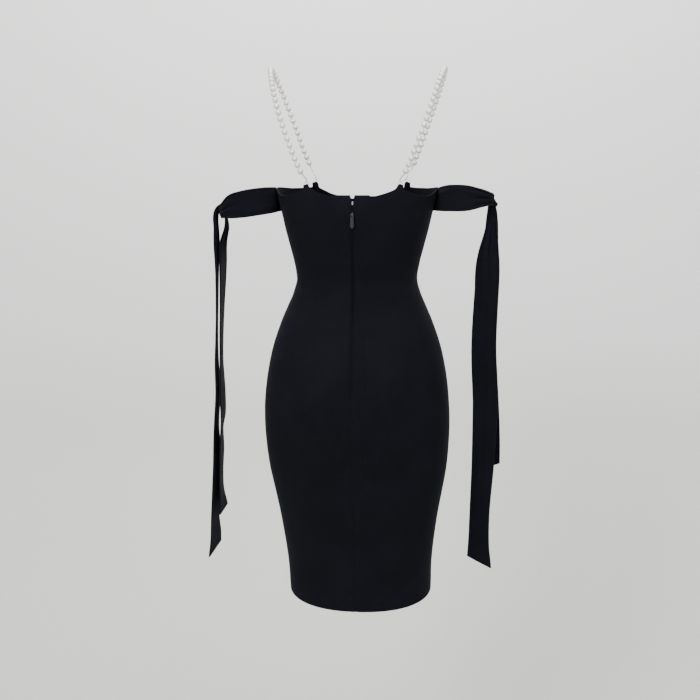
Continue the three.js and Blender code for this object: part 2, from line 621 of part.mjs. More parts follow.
// The zip's slider: a body behind the tapes, a neck out through the opening, and a bridge.
const BACK_AT_SLIDER = bodyPoint(0, SLIDER_Z).y;
const BRIDGE_Y = BACK_AT_SLIDER + BRIDGE.proud;
function zipSlider() {
  const behind = CLOTH + GAP + TAPE + SLIDER_BODY.behindTape;
  const bodyMiddle = BACK_AT_SLIDER - behind - SLIDER_BODY.thick / 2;
  const body = new THREE.BoxGeometry(SLIDER_BODY.wide, SLIDER_BODY.thick, SLIDER_BODY.tall);
  body.translate(0, bodyMiddle, SLIDER_Z);
  const ringEdge = new THREE.Shape().absarc(0, 0, BRIDGE.radius, 0, Math.PI * 2, false);
  ringEdge.holes.push(new THREE.Path().absarc(0, 0, BRIDGE.hole, 0, Math.PI * 2, true));
  const extrusion = { depth: BRIDGE.thick, bevelEnabled: false, curveSegments: 10 };
  const bridge = new THREE.ExtrudeGeometry(ringEdge, extrusion);
  bridge.translate(0, 0, -BRIDGE.thick / 2).rotateY(Math.PI / 2).translate(0, BRIDGE_Y, SLIDER_Z);
  const neckEnd = BRIDGE_Y - (BRIDGE.hole + BRIDGE.radius) / 2;
  const neck = new THREE.BoxGeometry(BRIDGE.thick, neckEnd - bodyMiddle, 3);
  neck.translate(0, (neckEnd + bodyMiddle) / 2, SLIDER_Z);
  return joined(body, neck, bridge);
}

// The pull tab, hanging from its round axle: a drop-shaped plate with a window round the bridge.
function pullTab() {
  const { halfTop, halfLow, length } = PULL_OUTLINE;
  const outline = new THREE.Shape();
  outline.moveTo(-halfTop, PULL.rail);
  outline.lineTo(-halfTop, -PULL.shoulder);
  outline.quadraticCurveTo(-halfTop, -9, -halfLow, -17);
  outline.bezierCurveTo(-halfLow, -length, halfLow, -length, halfLow, -17);
  outline.quadraticCurveTo(halfTop, -9, halfTop, -PULL.shoulder);
  outline.lineTo(halfTop, PULL.rail);
  const hole = new THREE.Path();
  hole.moveTo(-PULL.windowHalf, -PULL.rail);
  hole.lineTo(PULL.windowHalf, -PULL.rail);
  hole.lineTo(PULL.windowHalf, -PULL.windowEnd);
  hole.lineTo(-PULL.windowHalf, -PULL.windowEnd);
  outline.holes.push(hole);
  const extrusion = { depth: PULL.plate, bevelEnabled: false, curveSegments: 6 };
  const plate = new THREE.ExtrudeGeometry(outline, extrusion);
  plate.translate(0, 0, -PULL.plate / 2).rotateX(Math.PI / 2);
  const axle = new THREE.CylinderGeometry(PULL.axle, PULL.axle, 2 * halfTop, 16).rotateZ(Math.PI / 2);
  return joined(plate, axle);
}

// A bent wire through points.
function wire(points, radius, steps) {
  const curve = new THREE.CatmullRomCurve3(points, false, "centripetal");
  return loft(
    Array.from({ length: steps + 1 }, (_, i) => {
      const along = curve.getTangentAt(i / steps);
      const side = along.clone().cross(new THREE.Vector3(0, 1, 0)).normalize();
      const other = along.clone().cross(side).multiplyScalar(radius);
      return oval(curve.getPointAt(i / steps), side.multiplyScalar(radius), other, 6);
    }),
  );
}

// The hook and the eye that close the neckline, flat behind the stays and crossing the opening.
const HOOK_WIRE = 0.5;
const HOOK_Y = bodyPoint(0, -226).y - (CLOTH + 2 * GAP + TAPE + 2 * GAP + STAY + HOOK_WIRE + 0.8);
const NECK_HOOK = [
  { x: 9, in: 0, z: -229 },
  { x: 4, in: 0, z: -229.4 },
  { x: -2, in: 0, z: -228 },
  { x: -4.6, in: 0, z: -226 },
  { x: -3.4, in: 0, z: -224.2 },
  { x: 3, in: 0, z: -223.4 },
  { x: 9, in: 0, z: -223 },
];
const NECK_EYE = [
  { x: -9, in: 1.4, z: -229.5 },
  { x: -4, in: 1.4, z: -229.3 },
  { x: -1.2, in: 1.4, z: -226.2 },
  { x: -4, in: 1.4, z: -223.1 },
  { x: -9, in: 1.4, z: -222.8 },
];
const findingWire = (table, steps) =>
  wire(table.map((row) => new THREE.Vector3(row.x, HOOK_Y - row.in, row.z)), HOOK_WIRE, steps);
const neckHook = () => findingWire(NECK_HOOK, 12);
const neckEye = () => findingWire(NECK_EYE, 10);

const dress = new THREE.Group();

// Moves each level of a panel by its sway and tilts the hem, which a mirrored panel needs the
// other way.
function swayed(geometry, mirrored) {
  const { position } = geometry.attributes;
  const turned = mirrored ? -1 : 1;
  for (let i = 0; i < position.count; i += 1) {
    const [x, y, z] = [position.getX(i), position.getY(i), position.getZ(i)];
    const { sway } = smoothRow(SECTIONS, "z", z);
    const low = THREE.MathUtils.smoothstep(HEM_Z + HEM_TILT.over - z, 0, HEM_TILT.over);
    position.setX(i, x - turned * sway);
    const back = y / HEM_RISE.atY;
    const rise = HEM_RISE.front - HEM_RISE.loss * (back + Math.hypot(back, HEM_RISE.bend));
    position.setZ(i, z + (rise - turned * HEM_TILT.drop * (x / HEM_TILT.atX)) * low);
  }
  return geometry;
}

function add(name, geometry, material, mirrored = false) {
  const mesh = new THREE.Mesh(geometry, material);
  mesh.name = name;
  if (mirrored) mesh.scale.x = -1;
  dress.add(mesh);
  return mesh;
}

// Panels and what is sewn inside the centre back, on both sides
const STAY_DEPTH = CLOTH + 2 * GAP + TAPE + GAP;
add("front_panel", swayed(frontPanel(), false), knit);
for (const [side, mirrored] of [["left", false], ["right", true]]) {
  add(`back_panel_${side}`, swayed(backPanel(), mirrored), knit, mirrored);
  const tape = { width: TAPE_WIDTH, thick: TAPE, depth: CLOTH + GAP, top: ZIP_TOP_Z, bottom: ZIP_END_Z };
  add(`zip_tape_${side}`, backStrip(tape), tapeCloth, mirrored);
  const stay = { width: STAY_WIDTH, thick: STAY, depth: STAY_DEPTH, top: STAY_TOP_Z, bottom: STAY_END_Z };
  add(`neck_stay_${side}`, backStrip(stay), tapeCloth, mirrored);
}
add("zip_slider", zipSlider(), gunmetal);
const tab = add("zip_pull_tab", pullTab(), gunmetal);
tab.position.set(0, BRIDGE_Y, SLIDER_Z);
add("neck_hook", neckHook(), nickel);
add("neck_eye", neckEye(), nickel);

// Straps, with a ring and a cloth loop at each of their ends
for (const [side, mirrored] of [["left", false], ["right", true]]) {
  add(`bead_strap_${side}`, beadStrap(STRAP_BOW[side]), pearl, mirrored);
  for (const [end, angle] of [["back", BACK_TAB_ANGLE], ["front", FRONT_TAB_ANGLE]]) {
    const { point, turn } = tabFrame(angle);
    const atTab = new THREE.Group();
    atTab.position.copy(point);
    atTab.rotation.z = turn;
    const loop = new THREE.Mesh(strapLoop(), knit);
    loop.name = `strap_loop_${side}_${end}`;
    loop.position.set(0, LOOP_MIDDLE, BEND_UP);
    const ring = new THREE.Mesh(strapRing(), nickel);
    ring.name = `strap_ring_${side}_${end}`;
    ring.position.set(0, LOOP_MIDDLE, RING_UP);
    atTab.add(loop, ring);
    const onSide = new THREE.Group();
    if (mirrored) onSide.scale.x = -1;
    onSide.add(atTab);
    dress.add(onSide);
  }
}

// Arm ties: a band behind and before each arm, their knot, and their hanging ends
for (const [side, mirrored] of [["left", false], ["right", true]]) {
  add(`arm_band_${side}_back`, armBand(BANDS[side]), knit, mirrored);
  add(`arm_band_${side}_front`, armBand(BANDS[side]), knit, mirrored).scale.y = -1;
  const tieKnot = add(`tie_knot_${side}`, knot(), knit, mirrored);
  tieKnot.position.set(mirrored ? -KNOT_X.right : KNOT_X.left, 0, KNOT_Z[side]);
}
for (const [name, shape] of Object.entries(TAILS)) add(name, tail(shape), knit, shape.side === "right");

export default dress;
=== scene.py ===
# %% [markdown]
# A knee-length bodycon dress in near-black knit, empty, in the shape it has when worn.
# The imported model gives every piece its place. This file gives the cloth its smooth surface,
# seams and soft creases, the straps their pearls, the zip its coil, and everything its finish.

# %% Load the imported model
import math

import bpy
import numpy as np
from mathutils import Matrix, Vector


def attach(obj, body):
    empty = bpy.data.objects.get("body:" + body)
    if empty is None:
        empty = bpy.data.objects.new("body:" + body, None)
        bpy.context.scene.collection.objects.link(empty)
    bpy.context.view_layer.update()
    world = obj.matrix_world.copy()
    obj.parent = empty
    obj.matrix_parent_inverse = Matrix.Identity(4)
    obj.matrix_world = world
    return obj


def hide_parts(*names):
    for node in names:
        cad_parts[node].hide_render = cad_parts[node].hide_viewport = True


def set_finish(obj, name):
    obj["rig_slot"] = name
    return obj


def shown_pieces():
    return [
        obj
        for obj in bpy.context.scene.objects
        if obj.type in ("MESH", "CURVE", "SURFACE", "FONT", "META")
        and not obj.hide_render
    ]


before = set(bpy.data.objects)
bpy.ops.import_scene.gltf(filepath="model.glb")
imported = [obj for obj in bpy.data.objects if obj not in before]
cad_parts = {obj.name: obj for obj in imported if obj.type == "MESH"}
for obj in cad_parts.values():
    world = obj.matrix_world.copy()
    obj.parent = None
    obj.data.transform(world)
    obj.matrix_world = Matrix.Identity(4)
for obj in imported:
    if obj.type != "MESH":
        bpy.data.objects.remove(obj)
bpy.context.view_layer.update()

MM = 0.001
DRESS = "dress"

# %% [markdown]
# The camera stands behind the dress, a little to one side and a little above the waist, as in
# the photograph. It is set first, so that every later look at the scene has the same frame.

# %% Camera
ORBIT = math.radians(5.5)
PITCH = math.atan(165 / 1050)
CAMERA_AWAY = 1.9
CAMERA_SIDE = -0.0127
CAMERA_HEIGHT = -0.195
LENS, SENSOR = 54, 36

camera = bpy.data.objects.new("camera", bpy.data.cameras.new("camera"))
bpy.context.scene.collection.objects.link(camera)
camera.data.sensor_width = SENSOR
camera.data.lens = LENS
toward = Vector((-math.sin(ORBIT), math.cos(ORBIT), 0))
sideways = Vector((-math.cos(ORBIT), -math.sin(ORBIT), 0))
camera.location = toward * CAMERA_AWAY + sideways * CAMERA_SIDE + Vector((0, 0, CAMERA_HEIGHT))
looking = Vector((-toward.x * math.cos(PITCH), -toward.y * math.cos(PITCH), -math.sin(PITCH)))
camera.rotation_euler = looking.to_track_quat("-Z", "Y").to_euler()
bpy.context.scene.camera = camera
print("camera at", [round(v, 3) for v in camera.location])

# %% [markdown]
# The dress's outer surface is a stack of level sections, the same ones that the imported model
# was made from. A table of a few named sizes per level, joined by smooth curves, is easy to
# read and change, and gives every panel, seam and strip one common surface to lie on.

# %% The body of the dress
SECTION_COLUMNS = ("z", "half", "front", "back", "cup", "sway")
SECTIONS = [
    (-958, 132.5, 93, 90, 0, 7.5),
    (-900, 135, 95, 91, 0, 6.2),
    (-850, 140, 97.5, 93, 0, 5),
    (-800, 147, 100.5, 96.5, 0, 4),
    (-755, 155.5, 103, 101.5, 0, 3.2),
    (-710, 164, 105, 108.5, 0, 2.2),
    (-664, 168.8, 106, 117, 0, 1.2),
    (-620, 170.5, 106.5, 122.5, 0, 0.5),
    (-575, 168.5, 107, 123, 0, 0),
    (-530, 162.8, 106.5, 117.5, 0, 0),
    (-485, 153, 103.5, 107, 0, 0),
    (-440, 137.7, 98, 94, 0, 0),
    (-410, 124.8, 93, 84.5, 0, 0),
    (-385, 114.3, 90, 79, 0, 0),
    (-362, 109, 88.5, 77.5, 0, 0),
    (-335, 112.7, 90, 81.5, 1, 0),
    (-305, 120.2, 93, 87.5, 7, 0),
    (-275, 128, 97, 92.5, 17, 0),
    (-245, 134.8, 99, 95.5, 23, 0),
    (-215, 142, 96, 94.5, 17, 0),
    (-178, 148, 88, 88, 8, 0),
]
FULLNESS = 2.25
CUP_X, CUP_SPREAD = 68, 50


def smooth(xs, ys, at):
    """Values at places between a table's rows, on smooth curves through them."""
    xs, ys, at = (np.asarray(v, float) for v in (xs, ys, at))
    slopes = np.gradient(ys, xs) if len(xs) > 2 else np.full(2, (ys[1] - ys[0]) / (xs[1] - xs[0]))
    slopes[1:-1] = (ys[2:] - ys[:-2]) / (xs[2:] - xs[:-2])
    i = np.clip(np.searchsorted(xs, at, side="right") - 1, 0, len(xs) - 2)
    span = xs[i + 1] - xs[i]
    t = (at - xs[i]) / span
    t2, t3 = t * t, t * t * t
    return (
        (2 * t3 - 3 * t2 + 1) * ys[i]
        + (t3 - 2 * t2 + t) * span * slopes[i]
        + (3 * t2 - 2 * t3) * ys[i + 1]
        + (t3 - t2) * span * slopes[i + 1]
    )


def section(z):
    """The named sizes of the level sections at heights z."""
    table = np.array(SECTIONS, float)
    return {name: smooth(table[:, 0], table[:, i], z) for i, name in enumerate(SECTION_COLUMNS)}


def squarer(share):
    return np.sign(share) * np.abs(share) ** (2 / FULLNESS)


def body_point(angle, z):
    """Points of the outer surface: 0 degrees is the centre back, 90 the wearer's left."""
    angle, z = np.broadcast_arrays(np.asarray(angle, float), np.asarray(z, float))
    sizes = section(z)
    side, facing = np.sin(np.radians(angle)), np.cos(np.radians(angle))
    x = sizes["half"] * squarer(side)
    crown = np.exp(-(((np.abs(x) - CUP_X) / CUP_SPREAD) ** 2))
    y = np.where(facing >= 0, sizes["back"], sizes["front"]) * squarer(facing)
    y = y + np.where(facing < 0, sizes["cup"] * crown * facing, 0)
    return np.stack([x, y, z], -1)


def body_normal(angle, z):
    around = body_point(angle + 0.5, z) - body_point(angle - 0.5, z)
    up = body_point(angle, z + 0.5) - body_point(angle, z - 0.5)
    normal = np.cross(up, around)
    return normal / np.linalg.norm(normal, axis=-1, keepdims=True)


waist = section(-362)
print("waist", round(float(waist["half"]) * 2), "mm wide")

# %% [markdown]
# Cloth is made from a flat grid, as a pattern piece is cut flat, and each of its points is then
# moved to where it lies on the body. A grid keeps even faces and a flat pattern map, which the
# knit's stitches follow. Solidify gives the wall its thickness, and a small bevel turns its cut
# rim into a fold.

# %% A sheet of cloth from a grid


def deselect():
    bpy.ops.object.select_all(action="DESELECT")


def apply_modifier(piece, kind, **settings):
    bpy.context.view_layer.objects.active = piece
    modifier = piece.modifiers.new(kind.lower(), kind)
    for key, value in settings.items():
        setattr(modifier, key, value)
    bpy.ops.object.modifier_apply(modifier=modifier.name)


def grid_at(name, points):
    """A grid moved to rows of points in millimetres, its pattern map in metres of cloth."""
    rows, columns = points.shape[:2]
    deselect()
    bpy.ops.mesh.primitive_grid_add(
        x_subdivisions=columns - 1, y_subdivisions=rows - 1, size=1, calc_uvs=True
    )
    piece = bpy.context.active_object
    piece.name = name
    mesh = piece.data
    flat = np.empty(len(mesh.vertices) * 3)
    mesh.vertices.foreach_get("co", flat)
    flat = flat.reshape(-1, 3)
    column = np.rint((flat[:, 0] + 0.5) * (columns - 1)).astype(int)
    row = np.rint((flat[:, 1] + 0.5) * (rows - 1)).astype(int)
    mesh.vertices.foreach_set("co", (points[row, column] * MM).ravel())
    across = np.linalg.norm(np.diff(points, axis=1), axis=-1).mean(0)
    along = np.linalg.norm(np.diff(points, axis=0), axis=-1).mean(1)
    across = np.concatenate([[0], np.cumsum(across)])
    along = np.concatenate([[0], np.cumsum(along)])
    corner = np.empty(len(mesh.loops), int)
    mesh.loops.foreach_get("vertex_index", corner)
    uv = np.stack([across[column[corner]], along[row[corner]]], -1) * MM
    mesh.uv_layers[0].data.foreach_set("uv", uv.ravel())
    mesh.update()
    return piece


def cloth_sheet(name, points, thick, rim=0.7):
    """A wall of cloth whose outer side has the given rows of points, in millimetres."""
    piece = grid_at(name, points)
    apply_modifier(piece, "SOLIDIFY", thickness=thick * MM, offset=-1, use_even_offset=True)
    apply_modifier(
        piece, "BEVEL", width=rim * MM, segments=2, limit_method="ANGLE", angle_limit=math.radians(55)
    )
    deselect()
    piece.select_set(True)
    bpy.ops.object.shade_smooth_by_angle(angle=math.radians(50))
    return piece


# %% [markdown]
# The top edge dips at the centre and under each arm, and rises to four small peaks where the
# straps are hooked. At the centre back the two panels part a little above the zip's slider.

# %% Edges and panels
TOP_EDGE = [
    (0, -213.5), (14, -213.5), (21.5, -208), (26.5, -203.5), (27.9, -201.5), (29.7, -194.5),
    (33.6, -194.5), (34.5, -203.5), (38.5, -206), (46, -210.5), (53, -213.5), (64, -213.5),
    (76, -207), (90, -199), (102, -199), (120, -200.5), (136, -200), (143.2, -198.5),
    (143.9, -190), (148.4, -190), (149.1, -199.5), (158, -210), (168, -218), (180, -222),
]
BACK_EDGE = [
    (-970, 0.04), (-565, 0.04), (-545, 0.26), (-264, 0.3), (-254, 1.15), (-240, 1.15),
    (-233, 1.4), (-226, 1.9), (-219, 1.7), (-213.5, 3.6), (-190, 3.6),
]
HEM_Z = -958
ZIP_TOP, ZIP_END = -216, -562
# The hem is a little lower on the wearer's left, and lowest at the centre back.
HEM_TILT = {"drop": 0.8, "at_x": 132, "over": 158}
HEM_RISE = {"front": 17.5, "loss": 10.8, "at_y": 95, "bend": 0.2}
GAP = 0.3
CLOTH = 2.0
SEAM = 0.04
SEAM_FLAT = 1.4
HEM_BAND, HEM_STEP = 24, 0.28
CLOSED_BELOW = -262
# The zip's line fades to a plain seam's below its end, over this many millimetres.
SEAM_SHARE, FADE = 0.2, 12
FLAP_FOLD_Z, FLAP_FOLD_LONG = -480, 110
# Degrees from a seam or from the opening over which the panel's edge is moved aside.
SEAM_REACH, EDGE_REACH = 5, 6
BODY_RADIUS, SIDE_RADIUS = 125, 95
# Degrees round the body from the centre back, and the way along the cloth in millimetres.
FROM_CENTRE = [(0, 0), (8, 24), (30, 70), (180, 400)]
# What is pressed into the cloth beside a line: how far from the line it lies, how far it moves
# the cloth out, or in where it is less than 0, and its half width.
SIDE_SEAM = [(0, -0.75, 1.6), (5, 0.22, 2.5)]
ZIP_TROUGH = [(0, -2.1, 1.3)]
ZIP_SWELL = [(6, 0.7, 2.8)]
ZIP_LIP = [(3.2, 0.5, 1.5)]
ZIP_FLAP = [(17, 0.6, 2), (21.5, -0.7, 2.2)]
HEM_LINE = [(0, -0.25, 1.6)]
TOP_LINE = [(6.5, -0.22, 1.3)]


def across_table(table, at):
    columns = np.array(table, float)
    return np.interp(at, columns[:, 0], columns[:, 1])


def fold_at(angle):
    """An angle's mirror image on the left half, from 0 at the centre back to 180."""
    return np.abs((np.asarray(angle, float) + 180) % 360 - 180)


def sway(points):
    """Moves the lower levels a little to the wearer's right, and drops the hem's left and back."""
    z = points[..., 2]
    moved = points.copy()
    moved[..., 0] -= np.where(z < -600, section(z)["sway"], 0)
    low = np.clip((HEM_Z + HEM_TILT["over"] - z) / HEM_TILT["over"], 0, 1)
    back = points[..., 1] / HEM_RISE["at_y"]
    rise = HEM_RISE["front"] - HEM_RISE["loss"] * (back + np.hypot(back, HEM_RISE["bend"]))
    drop = HEM_TILT["drop"] * points[..., 0] / HEM_TILT["at_x"]
    moved[..., 2] += (rise - drop) * low * low * (3 - 2 * low)
    return moved


def bump_along(distance, width):
    return np.exp(-((distance / width) ** 2))


def pressed(distance, shape):
    """How far a pressed line moves the cloth out at a distance from it."""
    return sum(height * bump_along(distance - place, width) for place, height, width in shape)


# Soft creases: where their middle lies on the body, in degrees round it and in height, their
# half length, their tilt from level, their half width and their depth, less than 0 for a ridge.
CREASES = [
    (72, -372, 34, 14, 5.5, 1.0), (66, -352, 26, -9, 4.5, 0.7), (80, -402, 22, 24, 6, 0.6),
    (-70, -368, 30, -12, 5.5, 0.9), (-77, -349, 22, 10, 4, 0.7), (-63, -392, 28, -22, 6, 0.7),
    (38, -356, 28, 6, 7, 0.5), (-34, -364, 24, -5, 7, 0.5), (22, -700, 40, 16, 10, 0.7),
    (-24, -708, 36, -14, 10, 0.8), (12, -738, 26, 24, 8, 0.5), (-62, -690, 30, 20, 9, 0.5),
    (58, -684, 30, -18, 9, 0.5), (112, -366, 30, -12, 6, 0.9), (-110, -370, 32, 13, 6, 0.9),
    (140, -352, 30, 5, 7, 0.6), (-146, -348, 28, -7, 7, 0.5), (104, -300, 24, -38, 7, 0.7),
    (-106, -304, 24, 36, 7, 0.6), (158, -470, 40, 10, 10, 0.5), (-152, -482, 36, -12, 10, 0.5),
    (126, -560, 34, 18, 11, 0.5), (-124, -548, 38, -20, 11, 0.5), (176, -660, 44, 3, 12, 0.6),
    (60, -262, 22, 48, 6, 0.5), (-56, -258, 22, -50, 6, 0.5), (4, -722, 46, 90, 17, 1.7),
    (-20, -716, 30, 80, 14, 0.8),
]
# A crease bows by this much towards its ends, and has a lower ridge beside it, placed and sized
# in shares of its own width and depth.
CREASE_BOW = 3
RIDGE = {"high": 0.45, "at": 1.9, "wide": 1.4}


def creased(angle, z):
    """How far the creases move the surface out at these places, in millimetres."""
    out = np.zeros(np.broadcast(angle, z).shape)
    for middle, height, reach, tilt, width, depth in CREASES:
        turned = (angle - middle + 180) % 360 - 180
        side = np.radians(turned) * BODY_RADIUS
        rise = z - height
        lean = math.radians(tilt)
        along = side * math.cos(lean) + rise * math.sin(lean)
        off = -side * math.sin(lean) + rise * math.cos(lean) - CREASE_BOW * (along / reach) ** 2
        fade = np.exp(-((along / reach) ** 4))
        beside = bump_along(off - RIDGE["at"] * width, RIDGE["wide"] * width)
        out -= depth * fade * (bump_along(off, width) - RIDGE["high"] * beside)
    return out


def panel_surface(columns, mirror, back):
    """A panel's outer points, for its columns of angles. mirror is -1 for the right back panel."""
    column = np.asarray(columns)[None, :]
    side = mirror * np.where(column > 180, -1, 1)
    folded = fold_at(column)
    top = across_table(TOP_EDGE, folded)
    z = HEM_Z + (top - HEM_Z) * np.asarray(ROWS)[:, None]
    half = section(z)["half"]
    edge = np.degrees(np.arcsin((across_table(BACK_EDGE, z) / half) ** (FULLNESS / 2)))
    seam = np.degrees(np.arcsin((SEAM / section(z)["back"]) ** (FULLNESS / 2)))
    near_seam = np.clip(1 - np.abs(90 - folded) / SEAM_REACH, 0, 1)
    near_edge = np.clip(1 - folded / EDGE_REACH, 0, 1)
    folded = folded + (edge * near_edge - seam * near_seam if back else seam * near_seam)
    angle = side * folded
    from_side = np.maximum(np.radians(np.abs(90 - folded)) * SIDE_RADIUS - SEAM_FLAT, 0)
    from_centre = np.maximum(across_table(FROM_CENTRE, folded) - SEAM_FLAT, 0)
    hem_line = HEM_Z + HEM_BAND
    out = creased(angle, z) + pressed(from_side, SIDE_SEAM)
    if back:
        right = side < 0
        zipped = SEAM_SHARE + (1 - SEAM_SHARE) / (1 + np.exp((ZIP_END - z) / FADE))
        closed = np.clip((CLOSED_BELOW - z) / FADE, 0, 1)
        out += zipped * pressed(from_centre, ZIP_TROUGH)
        out += zipped * closed * pressed(from_centre, ZIP_SWELL)
        out += zipped * right * pressed(from_centre, ZIP_LIP)
        out += right * bump_along(z - FLAP_FOLD_Z, FLAP_FOLD_LONG) * pressed(from_centre, ZIP_FLAP)
    out += HEM_STEP / (1 + np.exp((z - hem_line) / 1.2))
    out += pressed(z - hem_line, HEM_LINE) + pressed(top - z, TOP_LINE)
    return angle, z, out


def even(start, end, step):
    return np.linspace(start, end, max(2, int(round(abs(end - start) / step)) + 1))


# Columns stand about 2.2 degrees apart, and closer at the zip, the strap peaks and the seams.
BACK_COLUMNS = np.concatenate([
    [0, 0.45, 0.8, 1.15, 1.6, 2.1, 2.7, 3.4, 4.2, 5, 5.6, 6.2, 6.8, 7.4, 8.2],
    np.arange(9.4, 27, 2.2),
    [27.9, 28.35, 28.8, 29.25, 29.7, 30.6, 31.6, 32.6, 33.6, 33.9, 34.2, 34.5, 35.2],
    np.arange(37, 84, 2.2),
    [85.5, 87.5, 88.4, 89, 89.5, 90],
])
SIDE_COLUMNS = np.concatenate([
    [90, 90.5, 91, 91.6, 92.5, 94.5], np.arange(96.5, 141, 2.2),
    [142.7, 143.2, 143.55, 143.9, 144.8, 146.2, 147.5, 148.4, 148.75, 149.1, 149.6],
    np.arange(151.5, 179, 2.2),
])
FRONT_COLUMNS = np.concatenate([SIDE_COLUMNS, [180], 360 - SIDE_COLUMNS[::-1]])
HEM_ROWS = [0, 0.002, 0.005, 0.01, 0.02, 0.028, 0.0305, 0.033, 0.0355, 0.04]
TOP_ROWS = [0.984, 0.988, 0.9905, 0.993, 0.996, 0.9985, 1]
ROWS = HEM_ROWS + list(np.linspace(0.047, 0.979, 165)) + TOP_ROWS


def cloth_piece(piece, node, material="knit"):
    """Hides the imported part that a piece of cloth replaces, hangs the piece on the dress and gives it
    its finish.
    """
    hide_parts(node)
    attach(piece, DRESS)
    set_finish(piece, material)


def make_panel(node, columns, mirror, back):
    angle, z, out = panel_surface(columns, mirror, back)
    points = body_point(angle, z) + body_normal(angle, z) * out[..., None]
    piece = cloth_sheet(f"{node}_cloth", sway(points), CLOTH)
    cloth_piece(piece, node)
    return piece


back_left = make_panel("back_panel_left", BACK_COLUMNS[::-1], 1, True)
back_right = make_panel("back_panel_right", BACK_COLUMNS, -1, True)
front = make_panel("front_panel", FRONT_COLUMNS[::-1], 1, False)
print("panels", [(p.name, len(p.data.polygons)) for p in (back_left, back_right, front)])

# %% [markdown]
# Behind each back panel lie a woven zip tape, with its coil of teeth along the opening, and a
# short stay that stiffens the neckline and shows a little above it. They are cut from the same
# surface, so far inside it that nothing touches.

# %% Zip tapes and neck stays
TAPE_WIDE, TAPE = 13, 0.8
STAY_WIDE, STAY = 30, 0.8
STAY_TOP, STAY_END = -211.5, -240.5
EASE = 0.15


def inner_strip(node, side, wide, thick, deep, top, end, step):
    """A strip inside a back panel from the opening outwards. side is 1 left, -1 right."""
    z = even(end, top, step)[:, None]
    share = np.linspace(1, 0, max(4, int(wide / 2)))[None, :]
    reach = across_table(BACK_EDGE, z) + (wide - across_table(BACK_EDGE, z)) * share
    half = section(z)["half"]
    angle = np.degrees(np.arcsin((reach / half) ** (FULLNESS / 2)))
    inside = body_point(angle, z) - body_normal(angle, z) * (deep + EASE)
    if side < 0:
        inside = inside[:, ::-1] * np.array([-1, 1, 1])
    strip = cloth_sheet(f"{node}_cloth", inside, thick, rim=0.25)
    cloth_piece(strip, node, "zip_tape")
    return strip


tapes, stays = [], []
for side, word in ((1, "left"), (-1, "right")):
    tape = inner_strip(f"zip_tape_{word}", side, TAPE_WIDE, TAPE, CLOTH + GAP, ZIP_TOP, ZIP_END, 5)
    tapes.append(tape)
    deep = CLOTH + 2 * GAP + TAPE + GAP
    stay = inner_strip(f"neck_stay_{word}", side, STAY_WIDE, STAY, deep, STAY_TOP, STAY_END, 2)
    stays.append(stay)
print("strips", [p.name for p in tapes + stays])

# %% [markdown]
# The zip's teeth are one plastic coil sewn along each tape. One loop of it is modelled from a
# torus, pressed flat, and copied down the tape's edge at the pitch of a fine dress zip.

# %% Zip coil
COIL_PITCH = 1.6
COIL_RADIUS, COIL_WIRE = 1.15, 0.33
COIL_OUT, COIL_DEEP = 0.55, 1.35
COIL_LEAN, COIL_PRESSED = 14, 0.75
COIL_SEGMENTS, WIRE_SEGMENTS = 10, 5


def join_copies(name, model, places):
    """One piece from copies of a model, each moved by its own matrix. The model itself goes."""
    deselect()
    for place in places:
        copy = bpy.data.objects.new(name, model.data.copy())
        copy.data.transform(place)
        bpy.context.scene.collection.objects.link(copy)
        copy.select_set(True)
        bpy.context.view_layer.objects.active = copy
    bpy.data.objects.remove(model)
    if len(places) > 1:
        bpy.ops.object.join()
    bpy.ops.object.shade_smooth_by_angle(angle=math.radians(60))
    piece = bpy.context.active_object
    piece.name = name
    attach(piece, DRESS)
    return piece


def coil(name, side):
    deselect()
    bpy.ops.mesh.primitive_torus_add(
        major_radius=COIL_RADIUS * MM, minor_radius=COIL_WIRE * MM,
        major_segments=COIL_SEGMENTS, minor_segments=WIRE_SEGMENTS,
    )
    loop = bpy.context.active_object
    places = []
    for z in np.arange(ZIP_END + 3, ZIP_TOP - 1, COIL_PITCH):
        x = float(across_table(BACK_EDGE, z)) + COIL_OUT
        deep = CLOTH + GAP + TAPE + COIL_DEEP
        y = float(section(z)["back"]) - deep
        lean = Matrix.Rotation(math.radians(COIL_LEAN * side), 4, "Y")
        flat = Matrix.Diagonal((1.0, COIL_PRESSED, 1.0, 1.0))
        places.append(Matrix.Translation((side * x * MM, y * MM, float(z) * MM)) @ flat @ lean)
    piece = join_copies(name, loop, places)
    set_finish(piece, "zip_tape")
    return piece


coils = [coil("coil_left", 1), coil("coil_right", -1)]
print("coil loops", len(coils[0].data.polygons) // (COIL_SEGMENTS * WIRE_SEGMENTS))

# %% [markdown]
# A tie is a long strip of the same knit, sewn into a flat tube. Its rows say where the middle
# of the strip runs, how wide it lies, which way it faces and how deeply it is gathered, and a
# smooth curve through the rows makes it hang like cloth. Each strip has its own soft folds.

# %% Arm bands
BAND_COLUMNS = ("x", "y", "z", "width", "thick", "lean", "gather")
BANDS = {
    "left": [
        (142.6, 2.8, -220.5, 43, 2.4, 14, 0), (150, 19, -221, 45, 2.4, 10, 0),
        (167, 38, -223.5, 48, 2.4, 4, 0), (197, 47, -228, 48, 2.4, 0, 0),
        (223, 41.5, -233, 42, 2.6, -4, 0.6), (238.5, 28, -240, 26, 3.2, -8, 1.6),
        (246.5, 16.6, -241, 18.5, 4.2, -5, 1.4),
    ],
    "right": [
        (140.2, 2.4, -220, 41, 2.4, 15, 0), (148.4, 19, -218.8, 43.5, 2.4, 11, 0),
        (167, 38, -217.5, 46, 2.4, 4, 0), (196, 46.5, -217.5, 44, 2.4, 0, 0),
        (220, 41, -217.5, 31, 2.8, -4, 1.2), (234.5, 28, -218.5, 21, 3.6, -8, 1.6),
        (242.5, 16.6, -221, 18.5, 4.2, -5, 1.4),
    ],
}


